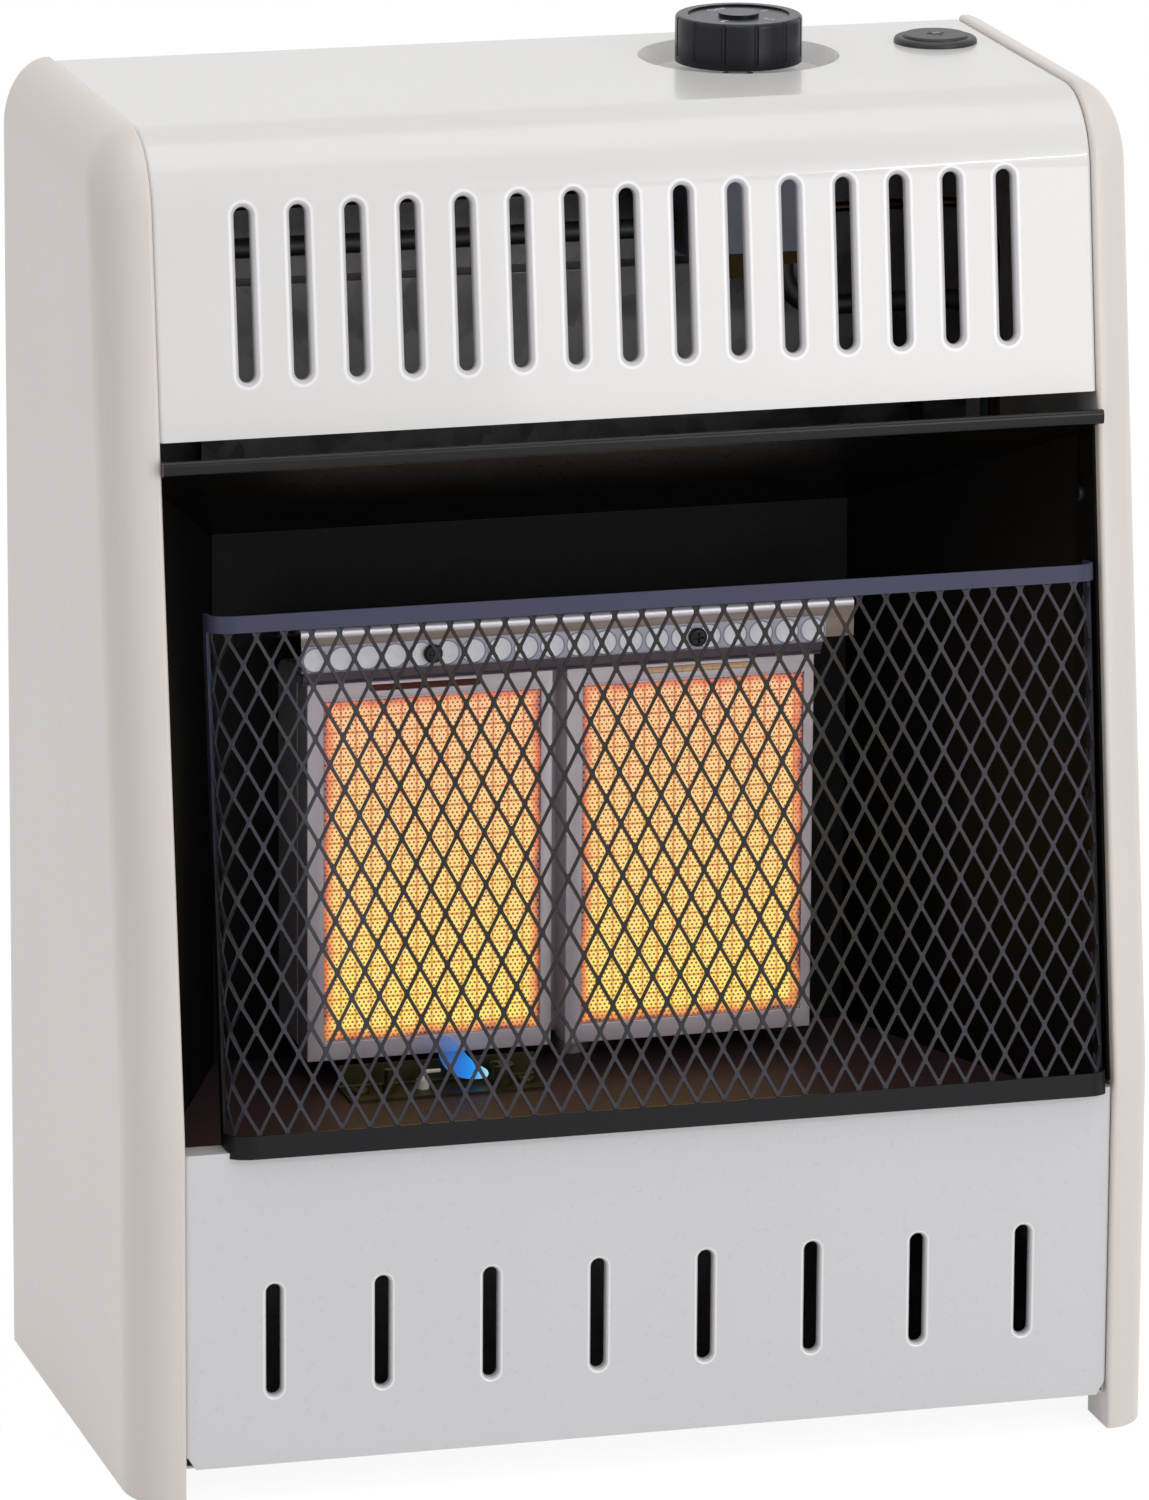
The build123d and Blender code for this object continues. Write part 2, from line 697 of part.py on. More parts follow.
pieces["hood_canopy"] = hood_canopy()
pieces["firebox_back"] = firebox_back()
pieces["firebox_side_right"] = firebox_side()
pieces["firebox_side_left"] = mirrored(pieces["firebox_side_right"])
pieces["firebox_floor"] = firebox_floor()
pieces["rear_heat_shield"] = rear_heat_shield()

# ---------------------------------------------------------------- grille
grille_length = (grille_top - grille_bottom) / cos(lean_angle)
grille_half = firebox_side_x - grille_side_gap
grille_plane = Plane(origin=(grille_shift, y_at(cabinet_depth + grille_proud), grille_bottom),
                     x_dir=(1, 0, 0), z_dir=(0, sin(lean_angle), cos(lean_angle)))


def grille_run(section, low, high):
    return extrude(grille_plane.offset(low) * section, high - low)


def grille_frame():
    section = bent_face([(-grille_half, grille_wing), (-grille_half, 0), (grille_half, 0),
                         (grille_half, grille_wing)], [grille_corner] * 2, bar_thickness)
    frame = grille_run(section, 0, bottom_bar_height)
    frame += grille_run(section, grille_length - top_bar_height, grille_length)
    for x in (-grille_half, grille_half):
        side = section & (Pos(x, grille_wing) * Rectangle(4 * bar_thickness, 2 * grille_edge_strip))
        frame += grille_run(side, 0, grille_length)
    return frame - block(-seam_x, seam_x, panel_back - grille_wing, panel_face + grille_foot_gap, 0,
                         lower_panel_top + grille_foot_gap)


def grille_mesh():
    """Expanded metal: a sheet with staggered diamond openings."""
    half_x = grille_half - grille_corner - 0.5
    low, high = bottom_bar_height / 3, grille_length - top_bar_height / 3
    reach = (mesh_pitch_x * mesh_pitch_z / 4) / ((mesh_pitch_x / 2) ** 2 + (mesh_pitch_z / 2) ** 2) ** 0.5
    share = 1 - mesh_strand / 2 / reach
    open_x, open_z = mesh_pitch_x / 2 * share, mesh_pitch_z / 2 * share
    holes = []
    rows = int((high - low) / mesh_pitch_z) * 2
    columns = int(2 * half_x / mesh_pitch_x)
    middle = (low + high) / 2
    for j in range(-rows // 2, rows // 2 + 1):
        for i in range(-columns, columns + 1):
            if (i + j) % 2:
                continue
            x, z = i * mesh_pitch_x / 2, middle + j * mesh_pitch_z / 2
            if abs(x) + open_x > half_x - 1.5 or z - open_z < low + 1.5 or z + open_z > high - 1.5:
                continue
            holes.append(Polyline((x - open_x, z), (x, z - open_z), (x + open_x, z), (x, z + open_z),
                                  close=True).wire())
    border = Polyline((-half_x, low), (half_x, low), (half_x, high), (-half_x, high), close=True).wire()
    face = Face(border, holes)
    lying = Plane(origin=grille_plane.origin, x_dir=(1, 0, 0), z_dir=(0, -cos(lean_angle), sin(lean_angle)))
    return extrude(lying.offset(-bar_thickness - mesh_thickness) * face, mesh_thickness)


pieces["grille_frame"] = grille_frame()
pieces["grille_mesh"] = grille_mesh()

# ---------------------------------------------------------------- burner
box_half = plaque_spacing / 2 + plaque_width / 2 + 2.0
plaque_back = plaque_face - plaque_thickness
seat_face = plaque_back - gasket
frame_half = box_half + burner_margin
plaque_x = (-plaque_spacing / 2, plaque_spacing / 2)


def windows(width, height, depth_low, depth_high):
    face = Sketch() + [Pos(x, plaque_middle_height) * Rectangle(width, height) for x in plaque_x]
    return upright(face, depth_low, depth_high)


def burner_box():
    box = block(-box_half, box_half, firebox_depth, seat_face, box_low, box_high)
    box = fillet(box.edges().filter_by(Axis.Y), 3.0)
    box -= block(-box_half + burner_wall, box_half - burner_wall, firebox_depth + burner_wall,
                 seat_face - burner_wall, box_low + burner_wall, box_high - burner_wall)
    box -= windows(window_width, window_height, seat_face - 3, seat_face + 1)
    box -= rod((riser_x, y_at(riser_depth), box_low - 2), (riser_x, y_at(riser_depth), box_low + 3),
               tube_bore / 2 + tube_wall + edge_gap / 2)
    for x, z in burner_screw_places:
        box -= clearance_hole((x, y_at(firebox_depth), z), (0, 1, 0))
    return box


def burner_face_frame():
    back = seat_face - 6
    frame = block(-frame_half, frame_half, back, plaque_face + burner_wall, frame_low, frame_high)
    frame = fillet(frame.edges().filter_by(Axis.Y), 3.0)
    frame -= block(-frame_half + burner_wall, frame_half - burner_wall, back - 1, plaque_face,
                   frame_low + burner_wall, frame_high - burner_wall)
    frame += block(-divider_width / 2, divider_width / 2, plaque_back + 0.5, plaque_face + burner_wall / 2,
                   box_low + 2, box_high - 2)
    frame -= windows(window_width, window_height, plaque_face - 1, plaque_face + 2)
    frame += block(-frame_half + 4, frame_half - 4, plaque_face, plaque_face + burner_wall,
                   frame_high - 2, strip_bottom)
    return frame


def plaque(x):
    """Perforated ceramic tile; its fine holes are too small for the solid."""
    tile = block(x - plaque_width / 2, x + plaque_width / 2, plaque_back, plaque_face,
                 plaque_middle_height - plaque_height / 2, plaque_middle_height + plaque_height / 2)
    return chamfer(tile.edges().filter_by(Axis.Y), 1.0)


def plaque_gasket(x):
    outer = Pos(x, plaque_middle_height) * Rectangle(plaque_width, plaque_height)
    inner = Pos(x, plaque_middle_height) * Rectangle(window_width, window_height)
    return upright(outer - inner, seat_face, plaque_back)


strip_face = plaque_face + 5.0
reflector_screw_height = (strip_bottom + strip_top) / 2


def reflector_strip():
    half = strip_width / 2
    section = bent_face([(seat_face, strip_bottom), (strip_face, strip_bottom), (strip_face, strip_top)],
                        [1.2], sheet)
    strip = across(section, -half, half)
    count = int(strip_width / dimple_pitch)
    for x in row(count, dimple_pitch):
        centre = (x, y_at(strip_face + dimple_sphere - dimple_sink), reflector_screw_height)
        strip -= Pos(*centre) * Sphere(dimple_sphere)
    for x in reflector_screw_x:
        strip -= clearance_hole((x, y_at(strip_face), reflector_screw_height), (0, -1, 0))
    return strip


def burner_shield():
    section = bent_face([(firebox_depth, shield_top - shield_fall), (strip_face - sheet, shield_top),
                         (strip_face - sheet, strip_bottom + 2)], [2.0], -sheet)
    shield = across(section, -strip_width / 2, shield_width - strip_width / 2)
    for x in reflector_screw_x:
        shield -= clearance_hole((x, y_at(strip_face), reflector_screw_height), (0, -1, 0))
    return shield


pieces["burner_box"] = burner_box()
pieces["burner_face_frame"] = burner_face_frame()
for x, side in zip(plaque_x, ("left", "right")):
    pieces["ceramic_plaque_" + side] = plaque(x)
    pieces["plaque_gasket_" + side] = plaque_gasket(x)
pieces["reflector_strip"] = reflector_strip()
pieces["burner_shield"] = burner_shield()

# ---------------------------------------------------------------- mixing tube and injector
bracket_x = mixing_mouth_x + 27.0
hex_start = bracket_x + injector_plate
hex_end = hex_start + 10.0
tube_outer = tube_bore / 2 + tube_wall


def at_mixing(x):
    return (x, y_at(riser_depth), mixing_height)


def mixing_tube():
    """Elbowed tube with a belled mouth; its upright end enters the burner box."""
    bell_length, bell_rise, top = 10.0, 5.0, box_low + 6.0

    def body(radius, reach):
        elbow = Pos(*at_mixing(riser_x)) * Sphere(radius)
        bell = Plane(origin=at_mixing(mixing_mouth_x - bell_length), z_dir=(1, 0, 0)) * Cone(
            radius, radius + bell_rise, bell_length + reach, align=(Align.CENTER, Align.CENTER, Align.MIN))
        upright_run = rod(at_mixing(riser_x), (riser_x, y_at(riser_depth), top + reach), radius)
        return upright_run + elbow + rod(at_mixing(riser_x), at_mixing(mixing_mouth_x), radius) + bell

    return body(tube_outer, 0) - body(tube_bore / 2, 0.01)


def air_shutter():
    low, high = mixing_mouth_x - 34.0, mixing_mouth_x - 14.0
    middle = (low + high) / 2
    sleeve = hollow_rod(at_mixing(low), at_mixing(high), tube_outer + 1.2, tube_outer + edge_gap / 2)
    ear = block(middle - 4, middle + 4, riser_depth - 3, riser_depth + 3, mixing_height - tube_outer - 8,
                mixing_height - tube_outer - 0.6)
    return sleeve + ear


def injector():
    tip = mixing_mouth_x + nozzle_gap
    body = rod(at_mixing(tip), at_mixing(tip + 6), 3.0)
    body += rod(at_mixing(tip + 6), at_mixing(hex_start), injector_thread)
    body += hexagon(at_mixing(hex_start), at_mixing(hex_end), injector_hex)
    return body - rod(at_mixing(tip - 1), at_mixing(hex_end + 1), 0.6)


def injector_bracket():
    low, foot, margin = pan_height + sheet, 16.0, 20.0
    front = riser_depth + margin
    plate = block(bracket_x, hex_start, firebox_depth, front, low, mixing_height + margin)
    plate += block(bracket_x, bracket_x + foot, firebox_depth, front, low, low + injector_plate)
    return plate - rod(at_mixing(bracket_x - 3), at_mixing(bracket_x + 5), injector_thread + edge_gap / 2)


pieces["mixing_tube"] = mixing_tube()
pieces["air_shutter"] = air_shutter()
pieces["injector"] = injector()
pieces["injector_bracket"] = injector_bracket()

# ---------------------------------------------------------------- gas valve, spindle and knob
valve_left, valve_right = knob_x - valve_width / 2, knob_x + valve_width / 2
valve_back, valve_front = knob_depth - valve_depth / 2, knob_depth + valve_depth / 2
chamber_low, chamber_high = valve_bottom + 5.0, valve_top - 5.0
plunger_top = chamber_high - 8.0
plunger_bottom = plunger_top - 14.0
bonnet_top = valve_top + bonnet_height
knob_bottom = dish_floor + knob_lift + knob_travel
knob_top = knob_bottom + knob_height
spindle_top = knob_top - 6.0
spindle_flat = 2.6               # flat from the spindle's axis
bracket_sheet = 1.5


def at_knob(height):
    return (knob_x, knob_y, height)


def gas_valve_body():
    body = block(valve_left, valve_right, valve_back, valve_front, valve_bottom, valve_top)
    body = fillet(body.edges().filter_by(Axis.Z), 5.0)
    body = fillet(body.edges().group_by(Axis.Z)[-1], 2.0)
    body += rod(at_knob(valve_top - 1), at_knob(bonnet_top), bonnet_radius)
    body -= rod(at_knob(valve_bottom - 1), at_knob(chamber_high), chamber_radius)
    body -= rod(at_knob(chamber_high - 1), at_knob(bonnet_top + 1), spindle_diameter / 2 + running_gap)
    for x in valve_screw_x:
        body -= clearance_hole((x, y_at(valve_back), valve_screw_height), (0, 1, 0), length=8.0)
    return body


def magnet_unit():
    plug = rod(at_knob(valve_bottom - 5), at_knob(chamber_low), chamber_radius - running_gap)
    return plug + hexagon(at_knob(valve_bottom - 12), at_knob(valve_bottom), magnet_hex)


def valve_plunger():
    return rod(at_knob(plunger_bottom), at_knob(plunger_top), chamber_radius - running_gap)


def flatted_shaft(low, high, flat_low, gap=0.0):
    shaft = rod(at_knob(low), at_knob(high), spindle_diameter / 2 + gap)
    wide = spindle_diameter
    return shaft - block(knob_x - wide, knob_x + wide, knob_depth + spindle_flat + gap, knob_depth + wide,
                         flat_low, high + 1)


def valve_spindle():
    return flatted_shaft(plunger_top, spindle_top, knob_bottom)


def control_knob():
    radius = knob_diameter / 2
    skirt = rod(at_knob(knob_bottom), at_knob(knob_top - 0.6), radius)
    body = fillet(skirt.edges().group_by(Axis.Z)[-1], 1.6)
    for i in range(knob_flutes):
        place = Pos(*at_knob(0)) * Rot(0, 0, i * 360 / knob_flutes) * Pos(radius + flute_radius * 0.2, 0, 0)
        body -= place * Pos(0, 0, knob_bottom + 2.5) * Cylinder(
            flute_radius, knob_height, align=(Align.CENTER, Align.CENTER, Align.MIN))
    body -= rod(at_knob(knob_top - 1.4), at_knob(knob_top), knob_recess_radius)
    body += rod(at_knob(knob_top - 2.0), at_knob(knob_top), knob_boss_radius)
    body -= rod(at_knob(knob_bottom - 1), at_knob(knob_bottom + 5), radius - 3.0)
    body += rod(at_knob(knob_bottom), at_knob(knob_bottom + 6), 8.0)
    return body - flatted_shaft(knob_bottom - 1, spindle_top + 0.3, knob_bottom - 2, gap=running_gap)


def valve_bracket():
    """Z bracket: one leg on the back panel, the other behind the valve."""
    rise = 12.0
    low = valve_screw_height - rise
    section = bent_face([(back_face, valve_screw_height + rise), (back_face, low), (valve_back, low),
                         (valve_back, valve_screw_height + rise / 2)], [2.5, 2.5], bracket_sheet)
    bracket = across(section, valve_left + 9, valve_right - 9)
    for x in valve_screw_x:
        bracket -= csk_hole(x, valve_screw_height)
        seat = (x, y_at(valve_back - bracket_sheet), valve_screw_height)
        bracket -= clearance_hole(seat, (0, 1, 0), length=3.0)
    return bracket


def coil(x, y, low, high, radius, wire, turns):
    path = Helix((high - low - wire) / turns, high - low - wire, radius, center=(x, y, low + wire / 2))
    start = Plane(origin=path @ 0, z_dir=path % 0)
    return sweep(start * Circle(wire / 2), path=path)


pieces["gas_valve_body"] = gas_valve_body()
pieces["magnet_unit"] = magnet_unit()
pieces["valve_plunger"] = valve_plunger()
pieces["plunger_spring"] = coil(knob_x, knob_y, chamber_low, plunger_bottom, 6.5, 1.2, 5)
pieces["valve_spindle"] = valve_spindle()
pieces["control_knob"] = control_knob()
pieces["valve_bracket"] = valve_bracket()

# ---------------------------------------------------------------- igniter
flange_top = top_surface + igniter_flange_height
body_bottom = top_surface - igniter_body_length
button_top = flange_top + button_height
button_skirt = 14.0
button_bottom = button_top - button_skirt
bore_bottom = button_bottom - button_travel - 1.5
spring_radius = 5.0
spring_bottom = body_bottom + 6.0


def at_igniter(height):
    return (igniter_x, igniter_y, height)


def igniter_housing():
    flange = rod(at_igniter(top_surface), at_igniter(flange_top), igniter_flange_diameter / 2)
    flange = fillet(flange.edges().group_by(Axis.Z)[-1], igniter_flange_height * 0.7)
    housing = flange + rod(at_igniter(body_bottom), at_igniter(top_surface), igniter_body_diameter / 2)
    housing -= rod(at_igniter(bore_bottom), at_igniter(flange_top + 1), button_diameter / 2 + running_gap)
    housing -= rod(at_igniter(spring_bottom), at_igniter(bore_bottom + 1), spring_radius + 1.5)
    return housing + rod(at_igniter(body_bottom - 4), at_igniter(body_bottom), 2.0)


def igniter_button():
    cap = rod(at_igniter(button_bottom), at_igniter(button_top), button_diameter / 2)
    return fillet(cap.edges().group_by(Axis.Z)[-1], 1.0)


def igniter_nut():
    under = top_surface - sheet
    nut = hexagon(at_igniter(under - 5), at_igniter(under), igniter_nut_hex)
    return nut - rod(at_igniter(under - 6), at_igniter(under + 1), igniter_body_diameter / 2 + edge_gap / 2)


pieces["igniter_housing"] = igniter_housing()
pieces["igniter_button"] = igniter_button()
pieces["igniter_spring"] = coil(igniter_x, igniter_y, spring_bottom, button_bottom, spring_radius, 1.0, 6)
pieces["igniter_nut"] = igniter_nut()

# ---------------------------------------------------------------- pilot
pilot_foot = firebox_floor_height
pilot_base = pilot_foot - pilot_stem
pilot_y = y_at(pilot_depth)


def at_pilot(x, rise):
    return (x, pilot_y, pilot_foot + rise)


def pilot_bracket():
    back, front = pilot_depth - pilot_reach, pilot_depth + pilot_reach
    section = bent_face([(back, pilot_foot + pilot_upstand), (back, pilot_foot), (front, pilot_foot)],
                        [2.0], pilot_wall)
    bracket = across(section, pilot_bracket_low, pilot_bracket_high)
    for x, radius in ((pilot_x, pilot_radius), (electrode_x, probe_radius), (thermocouple_x, probe_radius)):
        bracket -= rod(at_pilot(x, -2), at_pilot(x, 3), radius + edge_gap / 2)
    for x in pilot_screw_x:
        bracket -= clearance_hole(at_pilot(x, 0), (0, 0, 1))
    return bracket


def pilot_burner():
    """Hooded tube whose mouth faces the electrode."""
    body = rod(at_pilot(pilot_x, -pilot_stem), at_pilot(pilot_x, 9), pilot_radius)
    body += hexagon(at_pilot(pilot_x, -pilot_stem), at_pilot(pilot_x, 8 - pilot_stem), pilot_radius * 2.2)
    body -= rod(at_pilot(pilot_x, 2), at_pilot(pilot_x, 7.8), pilot_radius - 1.4)
    mouth = pilot_radius / 2
    return body - block(pilot_x - 2 * pilot_radius, pilot_x - 1, pilot_depth - mouth, pilot_depth + mouth,
                        pilot_foot + 4, pilot_foot + 10)


def spark_electrode():
    ceramic = rod(at_pilot(electrode_x, -pilot_stem), at_pilot(electrode_x, 5), probe_radius)
    wire = [at_pilot(electrode_x, 5), at_pilot(electrode_x, 8), at_pilot(electrode_x + 7, 8)]
    return ceramic + tube(wire, [2.0], 1.6)


def thermocouple():
    sleeve = rod(at_pilot(thermocouple_x, -pilot_stem), at_pilot(thermocouple_x, 4), probe_radius)
    return sleeve + rod(at_pilot(thermocouple_x, 4), at_pilot(thermocouple_x, 10), probe_radius * 0.7)


pieces["pilot_bracket"] = pilot_bracket()
pieces["pilot_burner"] = pilot_burner()
pieces["spark_electrode"] = spark_electrode()
pieces["thermocouple"] = thermocouple()

# ---------------------------------------------------------------- regulator, tubes and leads
inlet_seat = pan_height + sheet
inlet_y = y_at(inlet_depth)
riser_tube_x = seam_x
manifold_height = valve_bottom - 28.0
manifold_x = valve_right - 6.0
manifold_y = y_at(riser_depth)
inlet_run_height = valve_bottom + 8.0
pilot_run_x = seam_x - 14.0
pilot_run_low = pilot_base - 32.0
pilot_run_height = valve_bottom + 14.0
lead_run_x = 8.0 - seam_x
lead_run_low = pilot_base - 20.0
lead_run_height = valve_bottom + 26.0
cable_run_low = pilot_base - 40.0
cable_y = igniter_y + 17.5
valve_port_y = knob_y - 7.0
nut_length = 9.0


def at_inlet(height):
    return (inlet_x, inlet_y, height)


def regulator():
    body = rod(at_inlet(regulator_low), at_inlet(regulator_high), regulator_radius)
    body = fillet(body.edges().group_by(Axis.Z)[-1] + body.edges().group_by(Axis.Z)[0], 3.0)
    return body + rod(at_inlet(regulator_high - 1), at_inlet(regulator_high + 6), regulator_neck)


def inlet_fitting():
    """Threaded union that stands on the base pan and takes the hose from below."""
    fitting = rod(at_inlet(inlet_low), at_inlet(inlet_seat), inlet_radius)
    fitting += hexagon(at_inlet(inlet_seat), at_inlet(inlet_seat + inlet_hex_height), inlet_hex)
    fitting += rod(at_inlet(inlet_seat + inlet_hex_height), at_inlet(regulator_low), regulator_neck)
    return fitting - rod(at_inlet(inlet_low - 1), at_inlet(regulator_low + 1), inlet_radius / 2)


def flare_nut(start, end, diameter):
    return hexagon(start, end, diameter + 6.0) - rod(start, end, diameter / 2 + edge_gap / 2)


inlet_points = [at_inlet(regulator_high + 6), at_inlet(inlet_run_height),
                (valve_left, inlet_y, inlet_run_height)]
manifold_points = [(manifold_x, manifold_y, valve_bottom), (manifold_x, manifold_y, manifold_height),
                   (riser_tube_x, manifold_y, manifold_height), (riser_tube_x, manifold_y, mixing_height),
                   at_mixing(hex_end)]
pilot_points = [(pilot_x, pilot_y, pilot_base), (pilot_x, pilot_y, pilot_run_low),
                (pilot_run_x, pilot_y, pilot_run_low), (pilot_run_x, pilot_y, pilot_run_height),
                (pilot_run_x, valve_port_y, pilot_run_height), (valve_right, valve_port_y, pilot_run_height)]
lead_points = [(thermocouple_x, pilot_y, pilot_base), (thermocouple_x, pilot_y, lead_run_low),
               (lead_run_x, pilot_y, lead_run_low), (lead_run_x, pilot_y, lead_run_height),
               (lead_run_x, valve_port_y, lead_run_height), (valve_left, valve_port_y, lead_run_height)]
cable_points = [at_igniter(body_bottom - 4), at_igniter(body_bottom - 20),
                (igniter_x, cable_y, body_bottom - 58),
                (igniter_x, cable_y, cable_run_low), (igniter_x, pilot_y, cable_run_low),
                (electrode_x, pilot_y, cable_run_low), (electrode_x, pilot_y, pilot_base)]
pieces["regulator"] = regulator()
pieces["inlet_fitting"] = inlet_fitting()
pieces["inlet_tube"] = tube(inlet_points, [24.0], gas_tube)
pieces["manifold_tube"] = tube(manifold_points, [16.0, 20.0, 14.0], gas_tube)
pieces["pilot_tube"] = tube(pilot_points, [14.0, 16.0, 16.0, 16.0], pilot_tube_diameter)
pieces["thermocouple_lead"] = tube(lead_points, [9.0, 14.0, 16.0, 16.0], lead_diameter)
pieces["igniter_lead"] = tube(cable_points, [50.0, 50.0, 30.0, 30.0, 22.0], ignition_cable)
pieces["flare_nuts"] = Compound(children=[
    flare_nut((manifold_x, manifold_y, valve_bottom - nut_length), manifold_points[0], gas_tube),
    flare_nut((valve_left - nut_length, inlet_y, inlet_run_height), inlet_points[-1], gas_tube),
    flare_nut(at_mixing(hex_end), at_mixing(hex_end + nut_length), gas_tube)])

# ---------------------------------------------------------------- fasteners
side_screws = [screw((side * firebox_side_x, y_at(d), z), (-side, 0, 0), 5.0)
               for side in (-1, 1) for d, z in side_screw_places + [foot_screw_place]]
back_screws = [csk_screw(side * back_screw_x, z) for side in (-1, 1) for z in back_screw_heights]
back_screws += [csk_screw(x, shell_screw_height) for x in shell_screw_x]
back_screws += [csk_screw(x, pan_screw_height) for x in pan_screw_x]
back_screws += [csk_screw(x, valve_screw_height) for x in valve_screw_x]
pieces["firebox_side_screws"] = Compound(children=side_screws)
pieces["back_screws"] = Compound(children=back_screws)
pieces["reflector_screws"] = Compound(children=[
    screw((x, y_at(strip_face), reflector_screw_height), (0, -1, 0), 5.0) for x in reflector_screw_x])
pieces["burner_screws"] = Compound(children=[
    screw((x, y_at(firebox_depth - sheet), z), (0, 1, 0), 5.0) for x, z in burner_screw_places])
pieces["lower_panel_screws"] = Compound(children=[
    screw((x, y_at(panel_screw_depth), lower_panel_bottom), (0, 0, -1), 6.0) for x in panel_screw_x])
pieces["pilot_screws"] = Compound(children=[
    screw(at_pilot(x, pilot_wall), (0, 0, 1), 6.0) for x in pilot_screw_x])
pieces["valve_screws"] = Compound(children=[
    screw((x, y_at(valve_back - bracket_sheet), valve_screw_height), (0, 1, 0), 7.0) for x in valve_screw_x])

for name, shape in pieces.items():
    export_step(shape, f"parts/{name}.step")
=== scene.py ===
from math import atan, cos, pi, radians, sin

import bmesh
import bpy
from mathutils import Matrix, Vector


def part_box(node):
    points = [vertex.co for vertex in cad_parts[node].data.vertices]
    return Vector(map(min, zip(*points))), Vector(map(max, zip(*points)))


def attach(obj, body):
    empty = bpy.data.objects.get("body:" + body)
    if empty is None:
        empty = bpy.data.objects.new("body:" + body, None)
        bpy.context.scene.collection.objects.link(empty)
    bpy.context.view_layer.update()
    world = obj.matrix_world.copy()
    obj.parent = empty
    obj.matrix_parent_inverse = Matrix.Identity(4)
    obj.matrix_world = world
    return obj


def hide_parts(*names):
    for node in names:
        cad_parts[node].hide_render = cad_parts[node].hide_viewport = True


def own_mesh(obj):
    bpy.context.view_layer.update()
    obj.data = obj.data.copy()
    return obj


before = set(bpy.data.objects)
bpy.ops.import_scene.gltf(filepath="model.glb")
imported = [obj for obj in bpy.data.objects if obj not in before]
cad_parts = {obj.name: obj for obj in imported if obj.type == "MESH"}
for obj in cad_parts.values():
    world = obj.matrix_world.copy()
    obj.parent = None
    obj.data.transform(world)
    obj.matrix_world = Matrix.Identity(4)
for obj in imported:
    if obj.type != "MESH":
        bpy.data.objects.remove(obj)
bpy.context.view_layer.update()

MM = 0.001
X_AXIS, Z_AXIS = Vector((1, 0, 0)), Vector((0, 0, 1))
HALF_DEPTH = 111.0               # mm from the wall to the middle of the heater's box
SMOOTH_TURN = radians(32)        # an edge that turns less than this is shaded smooth
SIDES = {"left": -1, "right": 1}

# Sizes in mm that a shape and its finish share.
WINDOW_IN = 8.5                  # from the heater's middle to the near edge of each plaque's window
WINDOW_OUT = {"left": 97.0, "right": 99.6}
WINDOW_LOW, WINDOW_HIGH = 139.75, 279.25
BLOCK_WIDTH, BLOCK_HEIGHT = 6.2, 6.4    # a block of burner holes


# ---------------------------------------------------------------- helpers
def linear(shade):
    """Blender's linear colour of an sRGB hex value."""
    parts = [int(shade[i:i + 2], 16) / 255 for i in (1, 3, 5)]
    return [c / 12.92 if c <= 0.04045 else ((c + 0.055) / 1.055) ** 2.4 for c in parts] + [1.0]


def feed(tree, node, inputs):
    """Sets a node's inputs.  Each is a value or another node's output socket."""
    for key, value in inputs.items():
        if isinstance(value, bpy.types.NodeSocket):
            tree.links.new(value, node.inputs[key])
        else:
            node.inputs[key].default_value = value


def add(tree, kind, inputs=None, **settings):
    """Adds a node with its settings and inputs."""
    new = tree.nodes.new(kind)
    for key, value in settings.items():
        setattr(new, key, value)
    feed(tree, new, inputs or {})
    return new


def begin(name, **constants):
    """A new material with its Principled shader's own constants set."""
    material = bpy.data.materials.new(name)
    material.use_nodes = True
    tree = material.node_tree
    shader = tree.nodes["Principled BSDF"]
    feed(tree, shader, {key.replace("_", " ").title().replace("Ior", "IOR"): value
                        for key, value in constants.items()})
    return material, tree, shader


def finish(name, shades, mottle, rough, grain, relief, stretch=(1, 1, 1), **constants):
    """A finish that mottles between two shades over `mottle` mm.  Its roughness wanders between the two of
    `rough` over `grain` mm, and the same grain raises its skin by `relief` tenths of a millimetre."""
    material, tree, shader = begin(name, **constants)
    place = add(tree, "ShaderNodeTexCoord").outputs["Object"]
    cloud = add(tree, "ShaderNodeTexNoise", {"Vector": place, "Scale": 1 / (mottle * MM), "Detail": 1.0})
    shade = add(tree, "ShaderNodeMix", {"Factor": cloud.outputs["Fac"], "A": linear(shades[0]),
                                        "B": linear(shades[1])}, data_type="RGBA")
    lie = add(tree, "ShaderNodeMapping", {"Vector": place, "Scale": stretch})
    fine = add(tree, "ShaderNodeTexNoise", {"Vector": lie.outputs[0], "Scale": 1 / (grain * MM)})
    spread = add(tree, "ShaderNodeMapRange", {"Value": fine.outputs["Fac"], "To Min": rough[0],
                                              "To Max": rough[1]})
    bump = add(tree, "ShaderNodeBump", {"Strength": relief, "Distance": 0.1 * MM,
                                        "Height": fine.outputs["Fac"]})
    feed(tree, shader, {"Base Color": shade.outputs["Result"], "Roughness": spread.outputs[0],
                        "Normal": bump.outputs[0], "Coat Normal": bump.outputs[0]})
    return material


def at(x, depth, height):
    """A point from millimetres: across, out from the wall, and up."""
    return Vector((x, HALF_DEPTH - depth, height)) * MM


def sharpen(bm):
    """Smooth shading, broken at edges that turn more than SMOOTH_TURN."""
    bm.normal_update()
    for face in bm.faces:
        face.smooth = True
    for edge in bm.edges:
        edge.smooth = len(edge.link_faces) == 2 and edge.calc_face_angle(0) < SMOOTH_TURN


def piece(name, bm, body, slot, material, *replaced):
    """Turns a finished bmesh into a piece that rides on a body."""
    sharpen(bm)
    mesh = bpy.data.meshes.new(name)
    bm.to_mesh(mesh)
    bm.free()
    mesh.materials.append(material)
    new = bpy.data.objects.new(name, mesh)
    bpy.context.scene.collection.objects.link(new)
    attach(new, body)
    if replaced:
        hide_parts(*replaced)
    return new


